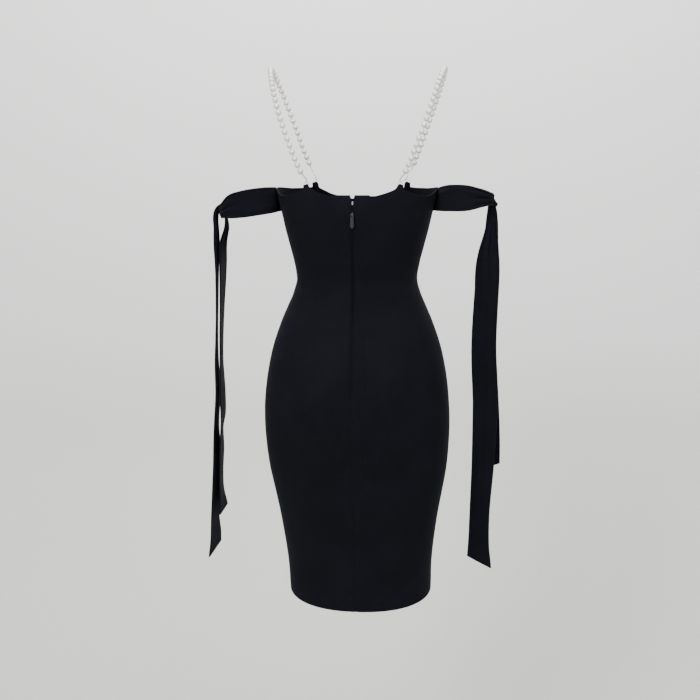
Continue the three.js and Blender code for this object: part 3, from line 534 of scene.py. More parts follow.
# A gathered strip's waves, as height and turns across it, the width of a soft crease and of the
# ridge beside it, and the slow waves down a strip, as height and turns along it.
GATHERS = [(0.75, 3), (0.45, 5.3)]
FOLD_WIDE, FOLD_RIDGE = 0.16, {"high": 0.5, "at": 0.34, "wide": 0.24}
RIPPLES = [(0.5, 9), (0.35, 17)]
STRIP_COLUMNS, BAND_STEPS = 29, 64


def rows_between(table, columns, steps):
    """The table's columns at even steps along it, on smooth curves."""
    values = np.array(table, float)
    at = np.linspace(0, len(values) - 1, steps + 1)
    return {name: smooth(np.arange(len(values)), values[:, i], at) for i, name in enumerate(columns)}


def ribbon(node, rows, across, folds, seed, rim=1.0):
    """A strip through rows of sizes, with across its width's directions. folds are soft creases:
    their place along the strip, half length, place across it from -1 to 1, slant and depth."""
    centre = np.stack([rows["x"], rows["y"], rows["z"]], -1)
    along = np.gradient(centre, axis=0)
    along /= np.linalg.norm(along, axis=-1, keepdims=True)
    out = np.cross(across, along)
    out /= np.linalg.norm(out, axis=-1, keepdims=True)
    share = np.linspace(-1, 1, STRIP_COLUMNS)[None, :]
    width = rows["width"][:, None]
    gather = rows["gather"][:, None]
    uneven = np.random.default_rng(seed).uniform(-0.5, 0.5, 4)
    lift = gather * sum(
        height * np.cos(share * math.pi * turns + start)
        for (height, turns), start in zip(GATHERS, uneven[:2])
    )
    place = np.linspace(0, 1, len(centre))[:, None]
    for middle, reach, side, slant, depth in folds:
        off = share - side - slant * (place - middle)
        lift = lift - depth * np.exp(-(((place - middle) / reach) ** 2)) * (
            bump_along(off, FOLD_WIDE)
            - FOLD_RIDGE["high"] * bump_along(off - FOLD_RIDGE["at"], FOLD_RIDGE["wide"])
        )
    (twist, twist_turns), (wave, wave_turns) = RIPPLES
    lift = lift + twist * np.sin(place * twist_turns + uneven[2] * 6) * share
    lift = lift + wave * np.sin(place * wave_turns + uneven[3] * 6)
    lift = lift * np.clip(np.minimum(place, 1 - place) * 30, 0, 1)
    slant = rows.get("slant", np.zeros(len(centre)))[:, None]
    points = (
        centre[:, None]
        + across[:, None] * (share * width / 2)[..., None]
        + along[:, None] * (share * slant)[..., None]
        + out[:, None] * (lift + rows["thick"][:, None] / 2)[..., None]
    )
    strip = cloth_sheet(f"{node}_cloth", points, float(np.median(rows["thick"])), rim)
    cloth_piece(strip, node)
    return strip


def band(table):
    """A band's rows of sizes from the side seam to the knot, and its width's directions."""
    rows = rows_between(table, BAND_COLUMNS, BAND_STEPS)
    lean = np.radians(rows["lean"])
    level = np.zeros(BAND_STEPS + 1)
    outward = np.stack([np.gradient(rows["y"]), -np.gradient(rows["x"]), level], -1)
    outward *= -1 / np.linalg.norm(outward, axis=-1, keepdims=True)
    across = np.stack([-outward[:, 0] * np.sin(lean), -outward[:, 1] * np.sin(lean), np.cos(lean)], -1)
    return rows, across


BAND_FOLDS = {
    ("left", "back"): [
        (0.78, 0.16, 0.3, -0.5, 1.3), (0.84, 0.13, -0.35, 0.3, 1.2), (0.3, 0.2, 0.55, 0.5, 0.6),
    ],
    ("left", "front"): [
        (0.8, 0.15, 0.1, -0.3, 1.2), (0.85, 0.12, 0.5, 0.3, 1.0), (0.4, 0.2, -0.5, 0.5, 0.6),
    ],
    ("right", "back"): [
        (0.66, 0.2, 0.4, -0.6, 1.4), (0.75, 0.18, -0.3, 0.5, 1.4), (0.2, 0.2, 0.5, 0.9, 0.8),
    ],
    ("right", "front"): [
        (0.7, 0.2, -0.4, 0.5, 1.2), (0.78, 0.15, 0.3, -0.4, 1.2), (0.3, 0.2, 0.4, -0.5, 0.6),
    ],
}
bands = {}
for seed, ((word, end), folds) in enumerate(BAND_FOLDS.items()):
    rows, across = band(BANDS[word])
    flip = np.array([1 if word == "left" else -1, 1 if end == "back" else -1, 1])
    rows = dict(rows, x=rows["x"] * flip[0], y=rows["y"] * flip[1])
    across = across * flip
    if flip[0] * flip[1] > 0:
        across = -across
    bands[word, end] = ribbon(f"arm_band_{word}_{end}", rows, across, folds, seed)
print("bands", [p.name for p in bands.values()])

# %% [markdown]
# Each knot lets a long and a short end hang down. An end starts narrow in the knot, opens to its
# full width and turns as it falls, and its end is cut on a slant. Its rows name the turn about
# the vertical too, because that is what makes the hanging ends look narrow or broad from behind.

# %% Hanging ties
TIE_COLUMNS = ("x", "y", "z", "width", "thick", "turn", "gather")
TIES = {
    "tie_left_long": [
        (240, 0, -229.5, 13, 3.4, 86, 1), (246, 0.5, -230.5, 14, 3.2, 84, 1.2),
        (253, 1, -236, 15, 3.2, 80, 1.4), (257, 1.5, -246, 16, 3.2, 78, 1.5),
        (257.6, 2, -258, 17, 3, 79, 1.5), (256.5, 3, -273, 20, 3, 82, 1.5),
        (256, 3, -300, 32, 2.4, 86, 1.2), (257, 2, -345, 45, 2.4, 94.6, 0.3),
        (259.4, 0, -420, 48, 2.4, 98, 0), (261.1, -1, -470, 48, 2.4, 98, 0),
        (262, -2, -520, 48, 2.4, 95.6, 0), (259.9, -1, -575, 48, 2.4, 92.5, 0),
        (263, 0, -620, 48, 2.4, 94, 0), (264.6, 1, -650, 48, 2.4, 93.4, 0),
        (263.8, 3, -690, 48, 2.4, 88, 0), (264.6, 4, -720, 48, 2.4, 87, 0),
        (270, 3, -810, 48, 2.4, 87, 0), (269.7, 0, -855, 48, 2.4, 80, 0),
        (272, 0, -882, 48, 2.4, 77, 0),
    ],
    "tie_left_short": [
        (241, -2, -249, 12, 3.6, 96, 0.8), (239, -4, -258, 14, 3.4, 92, 1.2),
        (239.5, -6, -273, 22, 3, 88, 1.6), (246.5, -9, -300, 36, 2.4, 84, 1),
        (248.2, -9, -345, 46, 2.4, 88.5, 0.2), (250.8, -7, -420, 48, 2.4, 95, 0),
        (252.6, -6, -470, 48, 2.4, 96.6, 0), (253.5, -5, -520, 48, 2.4, 97, 0),
        (253.1, -5, -575, 48, 2.4, 91.5, 0), (252.8, -6, -620, 48, 2.4, 92, 0),
        (255.5, -6, -650, 48, 2.4, 96.4, 0), (256.8, -8, -690, 48, 2.4, 92.4, 0),
        (259.4, -10, -735, 48, 2.4, 94, 0), (259.6, -11, -772, 48, 2.4, 94, 0),
        (257, -14, -808, 48, 2.4, 84, 0),
    ],
    "tie_right_long": [
        (238.5, 3, -224, 8, 4, 8, 1), (239.8, 6, -238, 13, 3.4, 8, 1.6),
        (239.8, 10, -254, 17, 3, 8, 1.8), (239.4, 14, -275, 22, 2.6, 6, 1.8),
        (235.4, 17, -312, 36, 2.4, 10, 1.2),
        (233.6, 18, -350, 46, 2.4, 26, 0.6), (232.6, 18, -410, 48, 2.4, 36, 0.2),
        (230.8, 17, -484, 48, 2.4, 31, 0), (234.6, 16, -580, 48, 2.4, 23, 0),
        (232.2, 18, -690, 48, 2.4, 35, 0), (228, 20, -780, 48, 2.4, 44, 0),
        (227.5, 21, -845, 48, 2.4, 41, 0), (228.8, 20, -884, 48, 2.4, 27, 0),
    ],
    "tie_right_short": [
        (239.6, -3, -226, 8, 4, 14, 1), (242, -3, -238, 12, 3.4, 14, 1.6),
        (242.6, -3, -254, 15, 3, 12, 1.8), (241, -2.5, -275, 21, 2.6, 10, 1.8),
        (236.2, -1, -320, 33, 2.4, 8, 1), (231.2, 0, -390, 43, 2.4, 28, 0.3),
        (230, 1, -484, 48, 2.4, 26, 0), (235.6, 0, -580, 48, 2.4, 14, 0),
        (239, 0, -650, 48, 2.4, 6, 0), (240, 0, -709, 48, 2.4, 3, 0),
    ],
}
END_SLANT = {"tie_left_long": 9, "tie_left_short": 4, "tie_right_long": 7, "tie_right_short": -9}
SLANT_STEPS = 6
TIE_FOLDS = {
    "tie_left_long": [
        (0.16, 0.12, 0.2, 1.5, 1.6), (0.4, 0.2, -0.3, -1, 0.8), (0.7, 0.15, 0.3, 1.2, 0.8),
    ],
    "tie_left_short": [
        (0.15, 0.12, -0.2, -1.2, 1.6), (0.5, 0.2, 0.3, 1.1, 0.8), (0.85, 0.12, -0.2, 1.2, 0.6),
    ],
    "tie_right_long": [
        (0.2, 0.14, 0.1, 1.2, 1.8), (0.26, 0.12, -0.5, 0.8, 1.4), (0.6, 0.16, 0.3, -1.2, 0.9),
        (0.8, 0.14, -0.3, 1.5, 0.9),
    ],
    "tie_right_short": [
        (0.2, 0.14, -0.1, 1.0, 1.6), (0.5, 0.2, 0.4, -1.0, 0.8), (0.8, 0.14, -0.4, 1.0, 0.7),
    ],
}
ties = {}
for seed, (name, table) in enumerate(TIES.items()):
    steps = 150 if "long" in name else 130
    rows = rows_between(table, TIE_COLUMNS, steps)
    turn = np.radians(rows["turn"])
    across = np.stack([np.cos(turn), np.sin(turn), np.zeros(steps + 1)], -1)
    near_end = np.clip(np.arange(steps + 1) - steps + SLANT_STEPS, 0, SLANT_STEPS)
    rows["slant"] = END_SLANT[name] * near_end / SLANT_STEPS
    if "right" in name:
        rows["x"] = -rows["x"]
        across = across * np.array([-1, 1, 1])
    ties[name] = ribbon(name, rows, across, TIE_FOLDS[name], 20 + seed)
print("ties", [(p.name, len(p.data.polygons)) for p in ties.values()])

# %% [markdown]
# Each knot is tied from the same strips. The cloth passes through it from both bands, a turn is
# wrapped round it on a slant, and the gathered ends drop out below. Every part is a grid rolled
# into a tube whose section is pleated along its length, a little unevenly.

# %% Knots
KNOT_ARM = 14.4
PASS_THICK, PASS_HALF_WIDE, PASS_SWELL = 3.2, 9.4, 0.12
WRAP_THICK, WRAP_FULLER = 2.7, 0.14
# The knot's middle, from its foot to its top: height, and half its size in X and in Y.
CORE = np.array([
    (-13.5, 5, 5.4), (-6, 5.6, 8.2), (2, 6, 9), (6, 5.4, 8.4), (8.4, 3.4, 5), (9, 1.4, 2),
])
# How many pleats go round each part of a knot, and how deep they are.
PLEATS = {"through": (9, 0.9), "wrap": (8, 0.85), "core": (11, 0.9)}
# Each knot's middle, and the middle, radii, half width, lean and roll of the turn wrapped round it.
KNOTS = {
    "left": {
        "side": 1, "at": (243.5, 0, -241), "wrap_at": (243.5, 0, -241),
        "radii": (5.2, 9.6), "half_wide": 6.9, "lean": -32, "roll": -12,
    },
    "right": {
        "side": -1, "at": (-238, 0, -222), "wrap_at": (-240.8, 0, -223),
        "radii": (9, 10.2), "half_wide": 4.6, "lean": 4, "roll": -57,
    },
}


def pleated_tube(name, centres, first, second, seed, closed=False):
    """A tube round a line of centres, with its section's two half axes as vectors per centre."""
    pleats, depth = PLEATS[name]
    turn = np.linspace(0, 2 * math.pi, 73)[:-1]
    chance = np.random.default_rng(seed)
    phase, drift = chance.uniform(0, 6, 2)
    place = np.linspace(0, 1, len(centres))[:, None]
    wander = 0.5 * np.sin(place * 2 * math.pi + drift) if closed else 0.9 * np.sin(place * 5 + drift)
    folds = np.abs(np.sin((turn[None, :] * pleats + phase + wander) / 2)) ** 0.7
    folds = folds * (0.75 + 0.25 * np.sin(turn * 3 + phase)[None, :]) - 0.6
    size = np.linalg.norm(first, axis=-1)[:, None]
    swell = 1 + depth * folds / size + 0.02 * np.sin(place * 4 * math.pi + turn[None, :] * 2)
    points = centres[:, None] + swell[..., None] * (
        first[:, None] * np.cos(turn)[None, :, None] + second[:, None] * np.sin(turn)[None, :, None]
    )
    points = np.concatenate([points, points[:, :1]], axis=1)
    if closed:
        points = np.concatenate([points, points[:1]])
    tube = grid_at(name, points)
    bpy.ops.object.mode_set(mode="EDIT")
    bpy.ops.mesh.select_all(action="SELECT")
    bpy.ops.mesh.remove_doubles(threshold=1e-6)
    bpy.ops.mesh.normals_make_consistent(inside=False)
    bpy.ops.object.mode_set(mode="OBJECT")
    return tube


def turned(lean, roll):
    """The rotation that leans about X and then rolls about Y, in degrees."""
    matrix = Matrix.Rotation(math.radians(roll), 3, "Y") @ Matrix.Rotation(math.radians(lean), 3, "X")
    return np.array(matrix)


def knot(word):
    shape = KNOTS[word]
    side = shape["side"]
    centre, wrap_at = (np.array(shape[key], float) for key in ("at", "wrap_at"))
    along = np.linspace(-KNOT_ARM + 0.2, KNOT_ARM - 0.2, 33)
    swell = (KNOT_ARM - np.abs(along)) * PASS_SWELL
    zero = np.zeros_like(along)
    toward_bands = np.abs(along / KNOT_ARM) ** 1.5
    middle = np.stack([side * (1.5 * toward_bands - 0.8), along, 1.5 * toward_bands], -1) + centre
    through = pleated_tube(
        "through", middle, np.stack([PASS_THICK + swell, zero, zero], -1),
        np.stack([zero, zero, PASS_HALF_WIDE - swell], -1), 40 + side,
    )
    turn = np.linspace(0, 2 * math.pi, 97)[:-1]
    out = np.stack([np.cos(turn), np.sin(turn), 0 * turn], -1)
    lean = turned(shape["lean"] * side, shape["roll"])
    ring = (out * [*shape["radii"], 0]) @ lean.T + wrap_at
    fuller = 1 + WRAP_FULLER * np.cos(turn * 2 + 0.4)[:, None]
    wrap = pleated_tube(
        "wrap", ring, (out * WRAP_THICK * fuller) @ lean.T,
        np.array([0, 0, shape["half_wide"]]) @ lean.T * fuller, 50 + side, closed=True,
    )
    level = np.linspace(CORE[0, 0], CORE[-1, 0], 49)
    zero = np.zeros_like(level)
    wide, deep = (np.interp(level, CORE[:, 0], CORE[:, i]) for i in (1, 2))
    core = pleated_tube(
        "core", np.stack([zero, zero, level], -1) + centre, np.stack([wide, zero, zero], -1),
        np.stack([zero, deep, zero], -1), 60 + side,
    )
    deselect()
    for part in (through, wrap, core):
        part.select_set(True)
    bpy.context.view_layer.objects.active = core
    bpy.ops.object.join()
    bpy.ops.object.shade_smooth_by_angle(angle=math.radians(60))
    core.name = f"tie_knot_{word}_cloth"
    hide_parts(f"tie_knot_{word}")
    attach(core, DRESS)
    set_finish(core, "knit")
    return core


knots = {word: knot(word) for word in KNOTS}
print("knots", [(p.name, len(p.data.polygons)) for p in knots.values()])

# %% [markdown]
# Each shoulder strap is a row of round pearls on a wire. A pearl is a ball whose drill holes are
# pressed in at both ends. Between two pearls sits a small wire link, and at each end of the
# strap a short chain runs to the ring at the strap tab.

# %% Strap route and tabs
STRAP_ROUTE = [
    (90, 86, -171), (105, 93, -132), (120, 92, -90), (133, 79, -48), (143.5, 48, -12), (150, 8, 5.5),
    (146, -32, -10), (134, -58, -48), (119, -70, -92), (104, -79, -137), (92, -87, -167),
]
STRAP_BOW = {"left": 1.5, "right": 4}
TAB_ANGLES = {"back": 31.55, "front": 146.15}
BEAD_RADIUS, BEAD_PITCH, FINDING = 5, 11.8, 15
NEARER_BACK = 5.5  # moves the row of beads toward the back tab
LOOP_MIDDLE, RING_UP, EYE_UP = 4.2, 2.65, 6.7
RING_RADIUS, RING_WIRE = 3.5, 0.55
EYE_RADIUS, EYE_WIRE = 1.9, 0.5


def tab_frame(angle):
    """A strap tab's point on the surface, and its outward side's turn about the vertical."""
    z = across_table(TOP_EDGE, angle)
    normal = body_normal(angle, z)
    return body_point(angle, z), math.atan2(normal[0], -normal[1])


def above_tab(angle, rise):
    point, turn = tab_frame(angle)
    return point + np.array([-math.sin(turn) * LOOP_MIDDLE, math.cos(turn) * LOOP_MIDDLE, rise])


def strap_line(bow, step=0.25):
    """Points a step apart along a strap's wire, from its back eye to its front eye."""
    route = np.array(STRAP_ROUTE, float)
    share = np.arange(1, len(route) + 1) / (len(route) + 1)
    route[:, 0] += bow * np.sin(math.pi * share)
    ends = [above_tab(TAB_ANGLES[end], EYE_UP + EYE_RADIUS) for end in ("back", "front")]
    knots_at = np.vstack([ends[0], route, ends[1]])
    knots_at = np.vstack([2 * knots_at[0] - knots_at[1], knots_at, 2 * knots_at[-1] - knots_at[-2]])
    spans = np.linalg.norm(np.diff(knots_at, axis=0), axis=-1) ** 0.5
    t = np.linspace(0, 1, 200, endpoint=False)[:, None]
    line = []
    for i in range(1, len(knots_at) - 2):
        a, b, c, d = knots_at[i - 1 : i + 3]
        before, here, after = spans[i - 1 : i + 2]
        start = here * ((b - a) / before - (c - a) / (before + here) + (c - b) / here)
        end = here * ((c - b) / here - (d - b) / (here + after) + (d - c) / after)
        line.append(
            (2 * t**3 - 3 * t**2 + 1) * b + (t**3 - 2 * t**2 + t) * start
            + (3 * t**2 - 2 * t**3) * c + (t**3 - t**2) * end
        )
    line = np.vstack(line + [ends[1]])
    travelled = np.concatenate([[0], np.cumsum(np.linalg.norm(np.diff(line, axis=0), axis=-1))])
    at = np.arange(0, travelled[-1], step)
    return np.stack([np.interp(at, travelled, line[:, i]) for i in range(3)], -1), travelled[-1]


def facing_along(line, length, at, roll=0.0):
    """A matrix that stands a model's Z axis along the line at a distance from its start."""
    share = at / length * (len(line) - 1)
    i = int(np.clip(round(share), 1, len(line) - 2))
    along = Vector(line[i + 1] - line[i - 1])
    turn = along.to_track_quat("Z", "X").to_matrix().to_4x4()
    return Matrix.Translation(Vector(line[i]) * MM) @ turn @ Matrix.Rotation(roll, 4, "Z")


line, strap_length = strap_line(STRAP_BOW["left"])
print("strap length", round(strap_length), "mm")

# %% [markdown]
# The beads are all alike, so one pearl, one link and one chain ring are modelled and copied along
# the strap's line, each turned with it. The pearls are turned about the wire at random too, so
# that their lustre doesn't repeat.

# %% Pearls, links and end chains
HOLE_DEPTH = 0.86
LINK = {"radius": 1.05, "wire": 0.34, "segments": 14, "stretch": 1.35}
CHAIN = {"radius": 1.2, "wire": 0.36, "segments": 16, "stretch": 1.45}
CHAIN_START, CHAIN_PITCH, CHAIN_NEAR_BEAD = 1.4, 2.7, 0.6


def pearl():
    """A ball with a drill hole pressed in at both poles."""
    deselect()
    bpy.ops.mesh.primitive_uv_sphere_add(segments=28, ring_count=18, radius=BEAD_RADIUS * MM)
    ball = bpy.context.active_object
    bpy.ops.object.mode_set(mode="EDIT")
    bpy.ops.mesh.select_all(action="DESELECT")
    bpy.ops.object.mode_set(mode="OBJECT")
    for vertex in ball.data.vertices:
        vertex.select = abs(vertex.co.z) > BEAD_RADIUS * MM * 0.999
    bpy.ops.object.mode_set(mode="EDIT")
    bpy.ops.transform.resize(value=(1, 1, HOLE_DEPTH))
    bpy.ops.object.mode_set(mode="OBJECT")
    return ball


def torus(radius, wire, segments=20, stretch=1.0):
    """A wire ring about Y, its middle at the origin, stretched along Z if it is an oval link."""
    deselect()
    bpy.ops.mesh.primitive_torus_add(
        major_radius=radius * MM, minor_radius=wire * MM, major_segments=segments,
        minor_segments=8, rotation=(math.pi / 2, 0, 0),
    )
    ring = bpy.context.active_object
    bpy.ops.object.transform_apply(location=False, rotation=True, scale=False)
    if stretch > 1:
        bpy.ops.object.mode_set(mode="EDIT")
        bpy.ops.transform.resize(value=(1, 1, stretch))
        bpy.ops.object.mode_set(mode="OBJECT")
    return ring


straps, findings = {}, {}
for word, side in (("left", 1), ("right", -1)):
    line, length = strap_line(STRAP_BOW[word])
    line = line * np.array([side, 1, 1])
    count = int((length - 2 * FINDING) // BEAD_PITCH)
    first = (length - (count - 1) * BEAD_PITCH) / 2 - NEARER_BACK
    at = first + np.arange(count) * BEAD_PITCH
    roll = np.random.default_rng(7 + side).uniform(0, 6, count)
    places = [facing_along(line, length, a, r) for a, r in zip(at, roll)]
    straps[word] = join_copies(f"pearls_{word}", pearl(), places)
    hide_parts(f"bead_strap_{word}")
    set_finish(straps[word], "pearl")
    between = (at[:-1] + at[1:]) / 2
    places = [facing_along(line, length, a, i * 1.3) for i, a in enumerate(between)]
    links = join_copies(f"links_{word}", torus(**LINK), places)
    behind, before = (
        np.arange(CHAIN_START, bare - BEAD_RADIUS + CHAIN_NEAR_BEAD, CHAIN_PITCH)
        for bare in (first, length - at[-1])
    )
    chain_at = np.concatenate([behind, length - before])
    places = [facing_along(line, length, a, i * math.pi / 2) for i, a in enumerate(chain_at)]
    chain = join_copies(f"chain_{word}", torus(**CHAIN), places)
    findings[word] = [links, chain]
    for piece in findings[word]:
        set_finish(piece, "nickel")
    print(word, "strap:", count, "pearls,", len(chain_at), "chain links")

# %% [markdown]
# A closed ring hangs in the loop of each strap tab, and a smaller wire eye joins it to the chain.
# Both are tori of wire, turned to lie flat against the cloth or across it.

# %% Strap rings and eyes
TAB_PLACES = [(word, side, end) for word, side in (("left", 1), ("right", -1)) for end in TAB_ANGLES]
rings = []
for word, side, end in TAB_PLACES:
    angle = TAB_ANGLES[end]
    turn = tab_frame(angle)[1]
    mirror = Matrix.Diagonal((side, 1, 1, 1))
    ring_at = Vector(above_tab(angle, RING_UP)) * MM
    place = mirror @ Matrix.Translation(ring_at) @ Matrix.Rotation(turn, 4, "Z")
    ring = join_copies(f"ring_{word}_{end}", torus(RING_RADIUS, RING_WIRE, 36), [place])
    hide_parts(f"strap_ring_{word}_{end}")
    eye_at = Vector(above_tab(angle, EYE_UP)) * MM
    place = mirror @ Matrix.Translation(eye_at) @ Matrix.Rotation(turn + math.pi / 2, 4, "Z")
    eye = join_copies(f"eye_{word}_{end}", torus(EYE_RADIUS, EYE_WIRE, 24), [place])
    for piece in (ring, eye):
        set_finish(piece, "nickel")
        rings.append(piece)
print("rings and eyes", len(rings))

# %% [markdown]
# The small hard pieces keep the imported model's own form. Each copy is merged, its edges are
# rounded or smoothed, and it takes its place in the picture. The pull tab hangs on a body of its own.

# %% Slider, pull tab, hook, eye and strap loops


def copy_of(node, material, bevel=0.0, body=DRESS):
    """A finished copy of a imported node, with rounded edges, or smoothed all over without a bevel."""
    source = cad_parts[node]
    mesh = source.data.copy()
    mesh.transform(source.matrix_world)
    copy = bpy.data.objects.new(f"{node}_finished", mesh)
    bpy.context.scene.collection.objects.link(copy)
    deselect()
    copy.select_set(True)
    bpy.context.view_layer.objects.active = copy
    bpy.ops.object.mode_set(mode="EDIT")
    bpy.ops.mesh.select_all(action="SELECT")
    bpy.ops.mesh.remove_doubles(threshold=2e-6)
    bpy.ops.mesh.dissolve_limited(angle_limit=math.radians(1))
    bpy.ops.object.mode_set(mode="OBJECT")
    if bevel:
        apply_modifier(
            copy, "BEVEL", width=bevel * MM, segments=3, limit_method="ANGLE",
            angle_limit=math.radians(40),
        )
    else:
        apply_modifier(copy, "SUBSURF", levels=2)
    bpy.ops.object.shade_smooth_by_angle(angle=math.radians(40))
    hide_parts(node)
    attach(copy, body)
    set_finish(copy, material)
    return copy


SLIDER_EDGE, PULL_EDGE, LOOP_EDGE = 0.35, 0.22, 0.25

slider = copy_of("zip_slider", "zip_metal", SLIDER_EDGE)
pull_tab = copy_of("zip_pull_tab", "zip_metal", PULL_EDGE, "pull_tab")
hook_and_eye = [copy_of("neck_hook", "nickel"), copy_of("neck_eye", "nickel")]
loops = {
    (word, end): copy_of(f"strap_loop_{word}_{end}", "knit", LOOP_EDGE) for word, _, end in TAB_PLACES
}
print("small pieces", [p.name for p in (slider, pull_tab, *hook_and_eye, *loops.values())])

# %% [markdown]

# %% [markdown]
# The knit is one group of nodes that reads the pattern map of each piece: rows of small stitches
# give it a fine grain in relief, with painted shade darkening their hollows, and slow noise makes its
# dye and nap a little uneven.

# %% Knit
STITCH = 0.0021
COURSES_PER_WALE = 1.3


def group_of(name, inputs, outputs):
    tree = bpy.data.node_groups.new(name, "ShaderNodeTree")
    for label, kind, value in inputs:
        socket = tree.interface.new_socket(label, in_out="INPUT", socket_type=kind)
        socket.default_value = value
    for label, kind in outputs:
        tree.interface.new_socket(label, in_out="OUTPUT", socket_type=kind)
    return tree, tree.nodes.new("NodeGroupInput"), tree.nodes.new("NodeGroupOutput")


def add_node(tree, kind, links=None, **settings):
    """A new node. Its links name an input socket, by name or place, and what feeds it."""
    made = tree.nodes.new(kind)
    for key, value in settings.items():
        setattr(made, key, value)
    for key, value in (links or {}).items():
        if isinstance(value, bpy.types.NodeSocket):
            tree.links.new(value, made.inputs[key])
        else:
            made.inputs[key].default_value = value
    return made


def knit_group():
    """Stitch relief, and a colour with painted shade in the stitch hollows, from a pattern map, in metres.
    """
    tree, given, made = group_of(
        "knit surface",
        [("Colour", "NodeSocketColor", (0.01, 0.01, 0.014, 1)), ("Relief", "NodeSocketFloat", 0.1)],
        [("Colour", "NodeSocketColor"), ("Roughness", "NodeSocketFloat"), ("Normal", "NodeSocketVector")],
    )
    place = add_node(tree, "ShaderNodeUVMap")
    fine = 1 / STITCH / 3.14
    wales = add_node(
        tree, "ShaderNodeTexWave",
        {"Vector": place.outputs[0], "Scale": fine, "Distortion": 0.6}, bands_direction="X",
    )
    courses = add_node(
        tree, "ShaderNodeTexWave",
        {"Vector": place.outputs[0], "Scale": COURSES_PER_WALE * fine, "Distortion": 0.8},
        bands_direction="Y",
    )
    stitch = add_node(
        tree, "ShaderNodeMath", {0: wales.outputs["Fac"], 1: courses.outputs["Fac"]}, operation="MULTIPLY"
    )
    body = add_node(tree, "ShaderNodeTexCoord")
    nap = add_node(
        tree, "ShaderNodeTexNoise", {"Vector": body.outputs["Object"], "Scale": 420.0, "Detail": 3.0}
    )
    height = add_node(
        tree, "ShaderNodeMath", {0: nap.outputs["Fac"], 1: stitch.outputs[0]}, operation="ADD"
    )
    bump = add_node(
        tree, "ShaderNodeBump",
        {"Height": height.outputs[0], "Strength": given.outputs["Relief"], "Distance": 0.0004},
    )
    slow = add_node(
        tree, "ShaderNodeTexNoise", {"Vector": body.outputs["Object"], "Scale": 14.0, "Detail": 2.0}
    )
    lighter = add_node(
        tree, "ShaderNodeMapRange",
        {"Value": slow.outputs["Fac"], "From Min": 0.3, "From Max": 0.7, "To Min": 0.86, "To Max": 1.14},
    )
    # Painted shade: the colour is darker in the hollows of the stitch relief and lighter on its crests.
    stitch_painted_shade = add_node(
        tree, "ShaderNodeMapRange", {"Value": stitch.outputs[0], "To Min": 0.88, "To Max": 1.1}
    )
    share = add_node(
        tree, "ShaderNodeMath", {0: lighter.outputs[0], 1: stitch_painted_shade.outputs[0]}, operation="MULTIPLY"
    )
    colour = add_node(
        tree, "ShaderNodeVectorMath",
        {0: given.outputs["Colour"], "Scale": share.outputs[0]}, operation="SCALE",
    )
    rough = add_node(
        tree, "ShaderNodeMapRange", {"Value": nap.outputs["Fac"], "To Min": 0.78, "To Max": 0.94}
    )
    tree.links.new(colour.outputs[0], made.inputs["Colour"])
    tree.links.new(rough.outputs[0], made.inputs["Roughness"])
    tree.links.new(bump.outputs[0], made.inputs["Normal"])
    return tree


def material(name, **sockets):
    """A material with a Principled surface and these constants on its sockets."""
    made = bpy.data.materials.new(name)
    made.use_nodes = True
    surface = made.node_tree.nodes["Principled BSDF"]
    for label, value in sockets.items():
        surface.inputs[label.replace("_", " ")].default_value = value
    return made, made.node_tree, surface


KNIT_GROUP = knit_group()


def cloth_material(name, colour, relief, specular, sheen):
    made, tree, surface = material(
        name, Specular_IOR_Level=specular, Sheen_Weight=sheen, Sheen_Roughness=0.55
    )
    surface.inputs["Sheen Tint"].default_value = (0.75, 0.8, 1, 1)
    cloth = add_node(tree, "ShaderNodeGroup", node_tree=KNIT_GROUP)
    cloth.inputs["Colour"].default_value = colour
    cloth.inputs["Relief"].default_value = relief
    tree.links.new(cloth.outputs["Colour"], surface.inputs["Base Color"])
    tree.links.new(cloth.outputs["Roughness"], surface.inputs["Roughness"])
    tree.links.new(cloth.outputs["Normal"], surface.inputs["Normal"])
    return made


knit = cloth_material("knit", (0.0044, 0.0046, 0.0074, 1), 0.35, 0.065, 0.004)
tape_cloth = cloth_material("zip tape", (0.006, 0.006, 0.0075, 1), 0.6, 0.1, 0.0)
print("knit group", len(KNIT_GROUP.nodes), "nodes")

# %% [markdown]
# The pearls have a warm white body under a clear coat. Painted shade darkens the body where a pearl
# turns away from the eye, which sets each ball off from a pale wall. The metals are slightly cloudy.

# %% Pearl and metals


def clouded(tree, low, high, scale):
    """A slow noise on the object's own coordinates, between two values."""
    body = add_node(tree, "ShaderNodeTexCoord")
    noise = add_node(
        tree, "ShaderNodeTexNoise", {"Vector": body.outputs["Object"], "Scale": scale, "Detail": 2.0}
    )
    between = {"Value": noise.outputs["Fac"], "To Min": low, "To Max": high}
    return add_node(tree, "ShaderNodeMapRange", between).outputs[0]


# The pearl's own warm white, and the dark colour of the painted shade at its edges.
PEARL_FACE, PEARL_PAINTED_EDGE_SHADE = (0.97, 0.95, 0.87, 1), (0.16, 0.145, 0.11, 1)
pearl_lustre, tree, surface = material(
    "pearl", Coat_Weight=1.0, Coat_Roughness=0.05, Coat_IOR=2.0, Subsurface_Weight=0.05,
    Subsurface_Scale=0.002, Specular_IOR_Level=0.55,
)
# Painted shade: the colour goes from the warm white to the dark edge colour as the surface turns away from
# the eye.
facing = add_node(tree, "ShaderNodeLayerWeight", {"Blend": 0.6})
pearl_painted_shade = add_node(
    tree, "ShaderNodeMix",
    {"Factor": facing.outputs["Facing"], 6: PEARL_FACE, 7: PEARL_PAINTED_EDGE_SHADE}, data_type="RGBA",
)
tree.links.new(pearl_painted_shade.outputs[2], surface.inputs["Base Color"])
tree.links.new(clouded(tree, 0.16, 0.34, 160.0), surface.inputs["Roughness"])


def metal_material(name, colour, low, high):
    made, tree, surface = material(name, Metallic=1.0, Base_Color=colour)
    tree.links.new(clouded(tree, low, high, 260.0), surface.inputs["Roughness"])
    return made


nickel = metal_material("nickel", (0.66, 0.66, 0.68, 1), 0.14, 0.3)
zip_metal = metal_material("zip metal", (0.07, 0.07, 0.078, 1), 0.3, 0.46)

